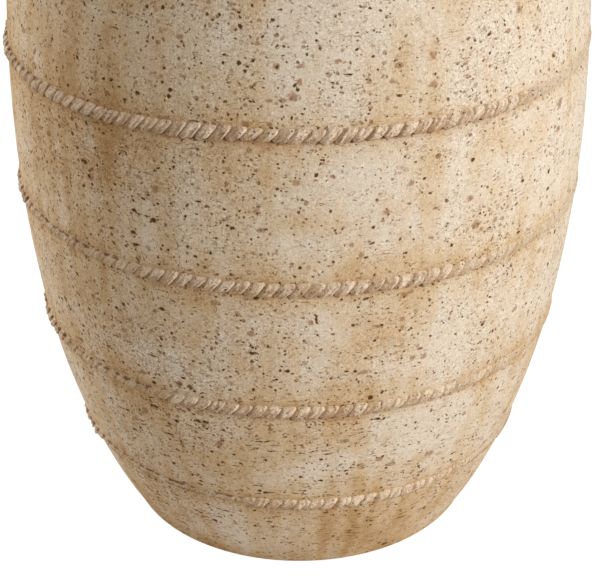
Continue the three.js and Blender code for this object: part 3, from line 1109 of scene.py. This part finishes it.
# Wash. A noise is its scale per metre, detail, roughness and how much flatter than wide it is. A mask is
# where it starts and where it is full, a range of four is for spread, and a shake is its scale and amount.
washLook = {
    "deepOchre": (188, 151, 104),
    "ochre": (206, 176, 136),
    "beige": (216, 194, 164),
    "pale": (224, 210, 191),
    "rawClay": (176, 140, 104),
    "grogBrown": (150, 106, 68),
    "smear": (176, 134, 100),
    "freckle": (130, 90, 50),
    "stainAndShadow": (150, 102, 52),
    "pitDark": (86, 54, 14),
    "chart": ((0.32, "ochre"), (0.62, "beige")),
    # Tone: cloud, upright brush marks, level drag lines, ochre halo beside the ropes and on the foot's edge
    "cloud": (60.0, 5.0, 0.66),
    "toneCloud": 0.70,
    "brush": (300.0, 3.0, 0.6, 0.16),
    "toneBrush": 0.42,
    "drag": (70.0, 3.0, 0.6, 9.0),
    "toneDrag": 0.16,
    "patchy": (75.0, 3.0, 0.6),
    "haloReach": (0.3, 0.7, 0.45, 2.0),
    "haloWidth": 5.5,
    "haloTone": 0.27,
    "footShake": 0.02,
    "footMask": (0.034, 0.010),
    # Where marks crowd: a slow noise, more on the left and beside the ropes
    "crowdNoise": (15.0, 3.0, 0.6),
    "crowdLeft": 0.45,
    "crowdFall": -0.2,
    "crowdBeside": 0.20,
    "crowded": (0.36, 1.00, 0.12, 1.76),
    "lowMask": (0.26, 0.08),
    "lowFewer": 0.6,
    # Grain and grit as shades of the colour, and warm and cool by turns
    "grain": (520.0, 4.0, 0.85, 0.85),
    "grainCrowd": (0.35, 0.95, 0.65, 1.05),
    "grainShade": (-0.22, 0.22, 0.72, 1.22),
    "grit": (950.0, 2.0, 0.7, 0.75),
    "gritCrowd": (0.35, 0.95, 0.65, 1.4),
    "gritShade": (-0.2, 0.2, 0.74, 1.24),
    "lowCalm": 0.35,
    "warm": (330.0, 3.0, 0.75),
    "warmShade": (0.3, 0.7, 0.94, 1.06),
    # Stain and painted shadow in the crease below a rope, less where the rope is worn
    "belowMask": (0.3, -0.3),
    "creaseTorn": 4.0,
    "creaseMask": (1.0, -0.6),
    "line": (0.0, 0.50),
    "underWidth": 2.0,
    "under": 0.32,
    "creaseWorn": (0.2, 0.8, 1.0, 0.15),
    # Torn places of the marks
    "swirl": (24.0, 0.012),
    "tear": (190.0, 0.0030),
    "fineTear": (620.0, 0.0012),
    "freckleTear": (300.0, 0.0022),
    "levelFlatter": 1.1,
    "dashFlatter": 6.5,
    "freckleFlatter": 1.3,
    # Smears and mottle
    "smearNoise": (130.0, 3.0, 0.7, 1.6),
    "smearMask": (0.60, 0.70),
    "mottleNoise": (360.0, 3.0, 0.75),
    "mottleMask": (0.52, 0.64),
    # Worm lines and scratches, and the places that keep them
    "wormNoise": (120.0, 1.0, 0.5, 2.4),
    "wormMask": (0.016, 0.004),
    "wormKept": (170.0, 1.0, 0.5),
    "wormKeptMask": (0.53, 0.61),
    "scratchNoise": (42.0, 1.0, 0.5, 13.0),
    "scratchMask": (0.018, 0.005),
    "scratchKept": (80.0, 1.0, 0.5),
    "scratchLow": 0.05,
    "scratchKeptMask": (0.54, 0.62),
    # Edges of the placed spots and chips
    "edgeNoise": (420.0, 3.0, 0.7),
    "unevenNoise": (230.0, 2.0, 0.6),
    "spotFray": 1.3,
    "spotUneven": 1.6,
    "spotMask": (-0.15, 0.38),
    "spotShade": (0.35, 0.6, 0.70, 1.0),
    "chipFray": 2.4,
    "chipMask": (-0.12, 0.20),
    "chipCoreMask": (0.08, 0.36),
    # Bump, in millimetres
    "liftGrain": 0.20,
    "liftDrag": 0.25,
    "liftCloud": 0.5,
    "bump": 0.9,
    "bareMask": (0.3, 0.7),
    "roughness": (0.3, 0.7, 0.84, 0.97),
}

# Kinds of specks: cells per metre, share of the cells, smallest size and largest size in a cell, and how soft
# their edge is. A pair is the largest size where they are few and where they crowd.
speckKinds = {
    "micro": {"cells": 330.0, "kept": (0.3, 0.7, 0.34, 1.0), "smallest": 0.12, "largest": 0.41, "soft": 0.06},
    "fine": {"cells": 175.0, "kept": 0.92, "smallest": 0.08, "largest": (0.29, 0.36), "soft": 0.045},
    "freckle": {"cells": 128.0, "kept": 0.95, "smallest": 0.10, "largest": 0.25, "soft": 0.06},
    "pit": {"cells": 84.0, "kept": 0.74, "smallest": 0.05, "largest": (0.18, 0.25), "soft": 0.03},
    "dash": {"cells": 76.0, "kept": (0.80, 0.25), "smallest": 0.08, "largest": (0.30, 0.38), "soft": 0.05},
}
speckCrowd = (0.75, 1.15)
dashKept = {"low": 0.9, "range": (0.6, 1.3, 0.05, 1.0)}

# Marks in the order in which they lie on each other: mask, colour and how much of it shows
markColours = (
    ("smear", "smear", 0.42),
    ("mottle", "smear", 0.40),
    ("spot", "grogBrown", 0.78),
    ("freckleWide", "freckle", 0.78),
    ("microWide", "stainAndShadow", 0.62),
    ("microCore", "pitDark", 0.87),
    ("scratch", "stainAndShadow", 0.60),
    ("worm", "stainAndShadow", 0.85),
    ("fineWide", "stainAndShadow", 0.78),
    ("fineCore", "pitDark", 0.94),
    ("dashWide", "stainAndShadow", 0.80),
    ("dashCore", "pitDark", 0.93),
    ("pitWide", "stainAndShadow", 0.75),
    ("pitCore", "pitDark", 0.98),
    ("chipWide", "stainAndShadow", 0.66),
    ("chipCore", "pitDark", 0.98),
)
# How deep marks go, in millimetres
markDepths = (
    ("microWide", 0.20),
    ("fineWide", 0.35),
    ("pitWide", 0.6),
    ("dashWide", 0.35),
    ("worm", 0.25),
    ("chipWide", 0.8),
    ("mottle", 0.08),
)


# Tone of the wash, 0 ochre to 1 pale: the mesh's own pale value + cloud + brush marks + drag lines, less an
# ochre halo exp(-d / w) beside the ropes and on the foot's edge
def washTone(tree, place, height, ropeAway, cloud, dragged):
    look = washLook
    brushed = noiseValue(tree, place, *look["brush"])
    tone = addParts(tree, readValue(tree, "pale"), (
        (centred(tree, cloud), look["toneCloud"]),
        (centred(tree, brushed), look["toneBrush"]),
        (centred(tree, dragged), look["toneDrag"]),
    ))
    patchy = noiseValue(tree, place, *look["patchy"])
    reach = spread(tree, patchy, *look["haloReach"])
    halo = fallOff(tree, ropeAway, times(tree, reach, -look["haloWidth"]))
    foot = stepMask(tree, plus(tree, height, times(tree, patchy, look["footShake"])), *look["footMask"])
    return minus(tree, tone, times(tree, calc(tree, "MAXIMUM", halo, foot), look["haloTone"]))


# Where marks crowd together: noise - a x + b min(exp(-c d), 1) + the mesh's own patches
def crowdValue(tree, place, sideways, ropeAway):
    look = washLook
    crowd = noiseValue(tree, place, *look["crowdNoise"])
    crowd = minus(tree, crowd, times(tree, sideways, look["crowdLeft"]))
    beside = calc(tree, "EXPONENT", times(tree, ropeAway, look["crowdFall"]))
    crowd = plus(tree, crowd, times(tree, calc(tree, "MINIMUM", beside, 1.0), look["crowdBeside"]))
    return plus(tree, crowd, readValue(tree, "crowd"))


# Every kind of specks, as a core and a wide mask each. Micro specks are kept by crowding alone, dashes also
# by being low on the pot, and the rest by crowding, fewer of them low down.
def washSpecks(tree, torn, low, crowd, crowded):
    look = washLook
    fewer = times(tree, crowded, minus(tree, 1.0, times(tree, low, look["lowFewer"])))
    level = flattened(tree, torn, look["levelFlatter"])
    freckled = flattened(tree, shaken(tree, torn, *look["freckleTear"]), look["freckleFlatter"])
    places = {"dash": flattened(tree, torn, look["dashFlatter"]), "freckle": freckled}
    masks = {}
    for kind, k in speckKinds.items():
        if kind == "micro":
            kept = spread(tree, crowd, *k["kept"])
        elif kind == "dash":
            ofCrowded, ofLow = k["kept"]
            kept = plus(tree, times(tree, crowded, ofCrowded), times(tree, low, ofLow))
        else:
            kept = times(tree, fewer, k["kept"])
        largest = k["largest"]
        if isinstance(largest, tuple):
            largest = spread(tree, crowd, *speckCrowd, *largest)
        place = places.get(kind, level)
        core, wide = specks(tree, place, k["cells"], kept, k["smallest"], largest, k["soft"])
        masks[kind + "Core"], masks[kind + "Wide"] = core, wide
    keep = plus(tree, times(tree, low, dashKept["low"]), crowd)
    keep = spread(tree, keep, *dashKept["range"])
    for name in ("dashCore", "dashWide"):
        masks[name] = times(tree, masks[name], keep)
    return level, masks


# Thin lines where a noise crosses its middle, mask of |n - 0.5|, kept where another mask allows
def lineMask(tree, field, mask, kept):
    return times(tree, stepMask(tree, calc(tree, "ABSOLUTE", centred(tree, field)), *mask), kept)


# Worm lines and nearly level scratches, which show a little more near the foot
def washLines(tree, place, swirl, low):
    look = washLook
    field = noiseValue(tree, swirl, *look["wormNoise"])
    kept = stepMask(tree, noiseValue(tree, place, *look["wormKept"]), *look["wormKeptMask"])
    worm = lineMask(tree, field, look["wormMask"], kept)
    field = noiseValue(tree, place, *look["scratchNoise"])
    kept = plus(tree, noiseValue(tree, place, *look["scratchKept"]), times(tree, low, look["scratchLow"]))
    kept = stepMask(tree, kept, *look["scratchKeptMask"])
    return {"worm": worm, "scratch": lineMask(tree, field, look["scratchMask"], kept)}


# Spots and chips from the cones in the mesh, with frayed edges: mask of cone + a (n - 0.5)
def washSpots(tree, place):
    look = washLook
    edge = noiseValue(tree, place, *look["edgeNoise"])
    frayed = centred(tree, edge)
    uneven = centred(tree, noiseValue(tree, place, *look["unevenNoise"]))
    parts = ((frayed, look["spotFray"]), (uneven, look["spotUneven"]))
    field = addParts(tree, readValue(tree, "spot"), parts)
    spot = times(tree, stepMask(tree, field, *look["spotMask"]), spread(tree, edge, *look["spotShade"]))
    field = addParts(tree, readValue(tree, "chip"), ((frayed, look["chipFray"]),))
    wide, core = stepMask(tree, field, *look["chipMask"]), stepMask(tree, field, *look["chipCoreMask"])
    return {"spot": spot, "chipWide": wide, "chipCore": core}


# All the marks' masks by name, on places that are torn by three shakes
def washMarks(tree, place, low, crowd):
    look = washLook
    crowded = spread(tree, crowd, *look["crowded"])
    swirl = shaken(tree, place, *look["swirl"])
    torn = shaken(tree, shaken(tree, swirl, *look["tear"]), *look["fineTear"])
    level, masks = washSpecks(tree, torn, low, crowd, crowded)
    smeared = noiseValue(tree, swirl, *look["smearNoise"])
    masks["smear"] = stepMask(tree, smeared, *look["smearMask"])
    mottle = stepMask(tree, noiseValue(tree, level, *look["mottleNoise"]), *look["mottleMask"])
    masks["mottle"] = times(tree, mottle, crowded)
    return {**masks, **washLines(tree, place, swirl, low), **washSpots(tree, place)}


# The wash's chart of four colours, from ochre to pale
def chartColour(tree, tone):
    ramp = addNode(tree, "ValToRGB", {"Fac": tone})
    stops = ramp.color_ramp.elements
    stops[0].position, stops[0].color = 0.0, paint(*washLook["deepOchre"])
    stops[1].position, stops[1].color = 1.0, paint(*washLook["pale"])
    for position, name in washLook["chart"]:
        stops.new(position).color = paint(*washLook[name])
    return ramp.outputs["Color"]


# Shade of the grain, to multiply a colour with. Red takes the shade s of grain x grit, blue takes it warmed
# or cooled, s w, and green lies between, sqrt(s x s w).
def grainShade(tree, place, low, crowd, grain):
    look = washLook
    grit = noiseValue(tree, place, *look["grit"])
    calm = minus(tree, 1.0, times(tree, low, look["lowCalm"]))
    shades = []
    for noise, name in ((grain, "grain"), (grit, "grit")):
        strength = times(tree, spread(tree, crowd, *look[name + "Crowd"]), calm)
        shades.append(spread(tree, times(tree, centred(tree, noise), strength), *look[name + "Shade"]))
    shade = times(tree, *shades)
    warm = noiseValue(tree, place, *look["warm"])
    warmShade = times(tree, shade, spread(tree, warm, *look["warmShade"]))
    middleShade = calc(tree, "SQRT", times(tree, shade, warmShade))
    return addNode(tree, "CombineColor", {0: shade, 1: middleShade, 2: warmShade}).outputs[0]


# Stain and painted shadow in the crease below a rope: the larger of a torn line and a soft b exp(-d / w),
# less where it is worn
def creaseMask(tree, ropeAway, grain):
    look = washLook
    below = stepMask(tree, readValue(tree, "ropeSide"), *look["belowMask"])
    torn = plus(tree, ropeAway, times(tree, centred(tree, grain), look["creaseTorn"]))
    line = stepMask(tree, torn, *look["creaseMask"])
    line = times(tree, line, spread(tree, below, 0.0, 1.0, *look["line"]))
    under = fallOff(tree, ropeAway, -look["underWidth"])
    under = times(tree, calc(tree, "MINIMUM", under, 1.0), times(tree, below, look["under"]))
    unworn = spread(tree, readValue(tree, "worn"), *look["creaseWorn"])
    return times(tree, calc(tree, "MAXIMUM", line, under), unworn)


# Bare clay's colour, in soft blotches between raw clay and ochre
def bareColour(tree, blotch):
    share = stepMask(tree, blotch, *washLook["bareMask"])
    return blendColour(tree, share, paint(*washLook["rawClay"]), paint(*washLook["ochre"]))


# Washed clay: tone through the chart, grain, a stained crease with painted shadow below the ropes, then every
# mark.
# Inside the pot the clay is bare.
def washedClay():
    look = washLook
    material, tree = startMaterial("washedClay")
    place = addNode(tree, "TexCoord", {}).outputs["Object"]
    sideways, _, height = addNode(tree, "SeparateXYZ", {"Vector": place}).outputs
    ropeAway = readValue(tree, "ropeAway")
    cloud = noiseValue(tree, place, *look["cloud"])
    dragged = noiseValue(tree, place, *look["drag"])
    grain = noiseValue(tree, place, *look["grain"])
    crowd, low = crowdValue(tree, place, sideways, ropeAway), stepMask(tree, height, *look["lowMask"])

    colour = chartColour(tree, washTone(tree, place, height, ropeAway, cloud, dragged))
    shade = grainShade(tree, place, low, crowd, grain)
    colour = blendColour(tree, 1.0, colour, shade, "MULTIPLY")
    # Stained crease with painted shadow below the ropes
    colour = blendColour(tree, creaseMask(tree, ropeAway, grain), colour, paint(*look["stainAndShadow"]))
    masks = washMarks(tree, place, low, crowd)
    for name, paintName, amount in markColours:
        colour = blendColour(tree, times(tree, masks[name], amount), colour, paint(*look[paintName]))
    raw = blendColour(tree, 1.0, bareColour(tree, cloud), shade, "MULTIPLY")
    colour = blendColour(tree, readValue(tree, "bare"), colour, raw)

    (first, firstDepth), *others = markDepths
    depth = times(tree, masks[first], firstDepth)
    depth = addParts(tree, depth, [(masks[name], amount) for name, amount in others])
    lift = addParts(tree, times(tree, grain, look["liftGrain"]), (
        (dragged, look["liftDrag"]),
        (cloud, look["liftCloud"]),
    ))
    roughness = spread(tree, cloud, *look["roughness"])
    finishMaterial(tree, colour, roughness, minus(tree, lift, depth), look["bump"])
    return material


# Rope clay, with the same kinds of values as the wash
ropeLook = {
    "crest": (242, 221, 196),
    "body": (203, 172, 140),
    "shaded": (158, 135, 102),
    "pinkGrey": (188, 146, 118),
    "ochre": (214, 178, 134),
    "grooveStainAndUnderShade": (142, 104, 66),
    "gapDark": (76, 50, 20),
    "gapBrown": (108, 66, 34),
    "speck": (86, 58, 32),
    "blotch": (240.0, 4.0, 0.7),
    "grain": (760.0, 3.0, 0.75),
    "wornLess": 0.6,
    # Tone from body to crest, by strand and by what stands out, with painted light: the pad, the ridge and
    # the rope's top lighter
    "strandMiddle": 0.45,
    "toneStrand": 0.8,
    "tonePadPaintedLight": 0.32,
    "toneRidgePaintedHighlight": 0.60,
    "toneEdgePaintedLight": 0.55,
    "toneStreak": 0.95,
    "toneGrain": 2.8,
    # Painted shade: greenish grey in the valley on each strand's left
    "shadedMask": (0.85, 0.0),
    "shadedAmount": 0.48,
    "pinkMask": (0.48, 0.64),
    "pinkAmount": 0.60,
    # The wash's colours on worn stretches
    "washCloud": 0.7,
    "washLess": 0.53,
    "washShare": (0.0, 1.0, 0.10, 0.90),
    # Ochre along the top, painted shade below, brown in the grooves
    "aboveBlotch": 0.7,
    "aboveMask": (0.80, 1.05),
    "aboveAmount": 0.35,
    "belowGrain": 0.8,
    "belowMask": (-0.45, 1.0),
    "belowWorn": (0.1, 0.6, 0.34, 0.10),
    "grooveGrain": 0.6,
    "grooveMask": (0.50, 0.95),
    "grooveAmount": 0.70,
    "deepMask": (0.5, -0.5),
    "deepStain": 0.55,
    # Gaps: below the middle and above it
    "gapGrain": (-0.2, 0.2, 0.7, 1.5),
    "gapMask": (-0.06, 0.14),
    "gapAmount": (-0.2, 0.2, 0.80, 0.78),
    "gapColourMask": (-0.1, 0.1),
    "grainShade": (0.25, 0.75, 0.67, 1.27),
    "wornShade": (0.0, 1.0, 1.0, 0.90),
    "topPaintedLight": (0.5, 1.0, 1.0, 1.08),
    # Painted light: the top strip of each rope a little brighter
    "swirl": (30.0, 0.02),
    "tear": (500.0, 0.0014),
    "specks": (430.0, 0.85, 0.10, 0.36, 0.07),
    "speckAmounts": (0.55, 0.60),
    "liftGrain": 0.45,
    "liftBlotch": 1.2,
    "liftSpeck": 0.25,
    "bump": 1.0,
    "roughness": 0.9,
}


# Clay of the strands: body to crest by tone, with painted light on the pad, the ridge and the top, a painted
# shade in greenish grey on a strand's left, pinkish blotches, and the wash's colours where it is worn
def strandColour(tree, place, edge, wear, fresh, blotch, grain):
    look = ropeLook
    pad = readValue(tree, "pad")
    tone = times(tree, minus(tree, readValue(tree, "strand"), look["strandMiddle"]), look["toneStrand"])
    # Painted light: the pad, the ridge at a strand's right and the rope's top are made lighter
    tone = addParts(tree, tone, (
        (pad, look["tonePadPaintedLight"]),
        (readValue(tree, "ridge"), look["toneRidgePaintedHighlight"]),
        (edge, look["toneEdgePaintedLight"]),
        (readValue(tree, "streak"), look["toneStreak"]),
        (grain, look["toneGrain"]),
    ))
    colour = blendColour(tree, tone, paint(*look["body"]), paint(*look["crest"]))
    # Painted shade on the strand's left, where the pad is low
    shaded = stepMask(tree, pad, *look["shadedMask"])
    shaded = times(tree, shaded, times(tree, fresh, look["shadedAmount"]))
    colour = blendColour(tree, shaded, colour, paint(*look["shaded"]))
    pink = times(tree, stepMask(tree, blotch, *look["pinkMask"]), look["pinkAmount"])
    colour = blendColour(tree, pink, colour, paint(*look["pinkGrey"]))
    cloud = times(tree, noiseValue(tree, place, *washLook["cloud"]), look["washCloud"])
    washTint = minus(tree, plus(tree, cloud, readValue(tree, "pale")), look["washLess"])
    return blendColour(tree, spread(tree, wear, *look["washShare"]), colour, chartColour(tree, washTint))


# Stains over the strands: ochre along the top, brown in the grooves, a painted shade on the rope's underside,
# and the gaps
def stainedColour(tree, colour, edge, wear, fresh, blotch, grain):
    look = ropeLook
    ochre, brown, stainAndShadow = (paint(*look[name]) for name in ("ochre", "gapBrown", "grooveStainAndUnderShade"))
    above = plus(tree, edge, times(tree, minus(tree, 0.5, blotch), look["aboveBlotch"]))
    above = times(tree, stepMask(tree, above, *look["aboveMask"]), look["aboveAmount"])
    colour = blendColour(tree, above, colour, ochre)
    # Painted shade: the lower part of the rope darker
    below = minus(tree, times(tree, grain, look["belowGrain"]), edge)
    below = times(tree, stepMask(tree, below, *look["belowMask"]), spread(tree, wear, *look["belowWorn"]))
    colour = blendColour(tree, below, colour, stainAndShadow)
    groove = plus(tree, readValue(tree, "groove"), times(tree, grain, look["grooveGrain"]))
    groove = stepMask(tree, groove, *look["grooveMask"])
    groove = times(tree, groove, times(tree, fresh, look["grooveAmount"]))
    deep = blendColour(tree, stepMask(tree, edge, *look["deepMask"]), ochre, brown)
    colour = blendColour(tree, groove, colour, blendColour(tree, look["deepStain"], deep, stainAndShadow))
    frayed = times(tree, grain, spread(tree, edge, *look["gapGrain"]))
    gap = stepMask(tree, plus(tree, readValue(tree, "gap"), frayed), *look["gapMask"])
    gap = times(tree, gap, spread(tree, edge, *look["gapAmount"]))
    gapColour = stepMask(tree, edge, *look["gapColourMask"])
    gapColour = blendColour(tree, gapColour, paint(*look["gapDark"]), brown)
    return blendColour(tree, gap, colour, gapColour)


# Rope clay: the strands' colour, the stains, then a shade by grain, darker where worn and a painted light
# brighter at the top, and small specks
def ropeClay():
    look = ropeLook
    material, tree = startMaterial("ropeClay")
    place = addNode(tree, "TexCoord", {}).outputs["Object"]
    edge, wear = readValue(tree, "edge"), readValue(tree, "wear")
    fresh = minus(tree, 1.0, times(tree, wear, look["wornLess"]))
    blotch, grain = noiseValue(tree, place, *look["blotch"]), noiseValue(tree, place, *look["grain"])
    roughGrain = centred(tree, grain)
    colour = strandColour(tree, place, edge, wear, fresh, blotch, roughGrain)
    colour = stainedColour(tree, colour, edge, wear, fresh, blotch, roughGrain)

    shade = spread(tree, grain, *look["grainShade"])
    # Darker where worn, and painted light at the rope's top
    for value, name in ((wear, "wornShade"), (edge, "topPaintedLight")):
        shade = times(tree, shade, spread(tree, value, *look[name]))
    grey = addNode(tree, "CombineColor", {0: shade, 1: shade, 2: shade}).outputs[0]
    colour = blendColour(tree, 1.0, colour, grey, "MULTIPLY")
    torn = shaken(tree, shaken(tree, place, *look["swirl"]), *look["tear"])
    core, wide = specks(tree, torn, *look["specks"])
    wideAmount, coreAmount = look["speckAmounts"]
    colour = blendColour(tree, times(tree, wide, wideAmount), colour, paint(*look["speck"]))
    colour = blendColour(tree, times(tree, core, coreAmount), colour, paint(*look["gapDark"]))
    lift = plus(tree, times(tree, grain, look["liftGrain"]), times(tree, blotch, look["liftBlotch"]))
    lift = minus(tree, lift, times(tree, wide, look["liftSpeck"]))
    finishMaterial(tree, colour, look["roughness"], lift, look["bump"])
    return material


bareLook = {
    "blotch": (42.0, 4.0, 0.6),
    "grain": (620.0, 3.0, 0.7),
    "dustMask": (0.48, 0.30),
    "dust": 0.4,
    "liftGrain": 0.3,
    "liftBlotch": 0.8,
    "bump": 0.8,
    "roughness": 0.93,
}


# Floor of the pot: bare clay with soft blotches and grain
def bareClay():
    look = bareLook
    material, tree = startMaterial("bareClay")
    place = addNode(tree, "TexCoord", {}).outputs["Object"]
    blotch, grain = noiseValue(tree, place, *look["blotch"]), noiseValue(tree, place, *look["grain"])
    dusty = times(tree, stepMask(tree, grain, *look["dustMask"]), look["dust"])
    colour = blendColour(tree, dusty, bareColour(tree, blotch), paint(*washLook["stainAndShadow"]))
    lift = plus(tree, times(tree, grain, look["liftGrain"]), times(tree, blotch, look["liftBlotch"]))
    finishMaterial(tree, colour, look["roughness"], lift, look["bump"])
    return material


wallMaterial = washedClay()
ropeMaterial = ropeClay()
floorMaterial = bareClay()
print("materials ready")

makeFloor(floorMaterial)
makeFoot(wallMaterial)
for ring, (low, high) in enumerate(zip(ropeHeights, ropeHeights[1:]), 2):
    makeRing(f"wallRing{ring}", f"wall_ring_{ring}", low, high, wallMaterial)
makeRing("shoulderWall", "shoulder_ring", ropeHeights[-1], neckHeight, wallMaterial)
makeLip(wallMaterial)
print("walls ready")
for number, height in enumerate(ropeHeights, 1):
    makeRope(number, height, ropeMaterial)
print("ropes ready")


# Camera, floor and lights. A lamp stands at a turn to the right of the front and a rise over the ground.
stage = {
    "cameraPlace": (0.0, -1.3565, 0.9079),
    "cameraTilt": 61.59,
    "cameraRoll": -0.2,
    "cameraTurn": -0.02,
    "lens": 110.64,
    "sensor": 36.0,
    "clip": (0.01, 50.0),
    "floorHalf": 6.0,
    "floorPaint": (242, 239, 234),
    "floorGlow": 0.97,
    "glowShare": 0.86,
    "keyLamp": {"turn": 54.0, "rise": 16.0, "away": 2.6, "size": 1.5, "power": 48.8},
    "rimLamp": {"turn": -118.0, "rise": 18.0, "away": 2.4, "size": 0.9, "power": 36.0},
    "skyPaint": (255, 250, 242),
    "skyPower": 0.33,
    "aimHeight": 0.30,
}
white = (1.0, 1.0, 1.0, 1.0)


def makeCamera():
    camera = bpy.data.objects.new("camera", bpy.data.cameras.new("camera"))
    camera.data.lens = stage["lens"]
    camera.data.sensor_width = stage["sensor"]
    camera.data.clip_start, camera.data.clip_end = stage["clip"]
    camera.location = stage["cameraPlace"]
    turn, tilt, roll = (
        mathutils.Matrix.Rotation(math.radians(stage["camera" + name]), 4, axis)
        for name, axis in (("Turn", "Z"), ("Tilt", "X"), ("Roll", "Z"))
    )
    camera.rotation_euler = (turn @ tilt @ roll).to_euler()
    bpy.context.collection.objects.link(camera)
    bpy.context.scene.camera = camera


# Square lamp facing the pot's middle, in the direction (sin t cos r, -cos t cos r, sin r)
def makeLamp(name):
    look = stage[name]
    lamp = bpy.data.lights.new(name, "AREA")
    lamp.shape = "SQUARE"
    lamp.size = look["size"]
    lamp.energy = look["power"]
    turn, rise = math.radians(look["turn"]), math.radians(look["rise"])
    level = math.cos(rise)
    way = mathutils.Vector((math.sin(turn) * level, -math.cos(turn) * level, math.sin(rise)))
    holder = bpy.data.objects.new(name, lamp)
    holder.location = way * look["away"] + mathutils.Vector((0.0, 0.0, stage["aimHeight"]))
    holder.rotation_euler = way.to_track_quat("Z", "Y").to_euler()
    bpy.context.collection.objects.link(holder)


# 1 for what the camera sees directly, in a reflection or through glass, 0 for the light on the pot
def seenShare(tree):
    path = addNode(tree, "LightPath", {})
    seen = calc(tree, "MAXIMUM", path.outputs["Is Camera Ray"], path.outputs["Is Glossy Ray"])
    return calc(tree, "MAXIMUM", seen, path.outputs["Is Transmission Ray"])


# The floor takes the pot's shadow. The camera sees it nearly white, and so do glossy rays.
def makeStageFloor():
    material, tree = startMaterial("stageFloor")
    seen = times(tree, seenShare(tree), stage["glowShare"])
    plain = addNode(tree, "BsdfDiffuse", {"Color": paint(*stage["floorPaint"])})
    strength = stage["floorGlow"] / stage["glowShare"]
    glow = addNode(tree, "Emission", {"Color": white, "Strength": strength})
    both = addNode(tree, "MixShader", {0: seen, 1: plain.outputs[0], 2: glow.outputs[0]})
    addNode(tree, "OutputMaterial", {"Surface": both.outputs[0]})
    half = stage["floorHalf"]
    mesh = bpy.data.meshes.new("stageFloor")
    corners = [(-half, -half, 0.0), (half, -half, 0.0), (half, half, 0.0), (-half, half, 0.0)]
    mesh.from_pydata(corners, [], [(0, 1, 2, 3)])
    mesh.materials.append(material)
    floor = bpy.data.objects.new("stageFloor", mesh)
    bpy.context.collection.objects.link(floor)


# The sky lights the pot softly, and the camera sees it white
def makeWorld():
    world = bpy.data.worlds.new("studio")
    bpy.context.scene.world = world
    world.use_nodes = True
    tree = world.node_tree
    tree.nodes.clear()
    sky = addNode(tree, "Background", {"Color": paint(*stage["skyPaint"]), "Strength": stage["skyPower"]})
    plain = addNode(tree, "Background", {"Color": white, "Strength": 1.0})
    both = addNode(tree, "MixShader", {0: seenShare(tree), 1: sky.outputs[0], 2: plain.outputs[0]})
    addNode(tree, "OutputWorld", {"Surface": both.outputs[0]})


makeCamera()
makeLamp("keyLamp")
makeLamp("rimLamp")
makeStageFloor()
makeWorld()
bpy.context.scene.view_settings.view_transform = "Standard"
print("camera, floor and lights ready")
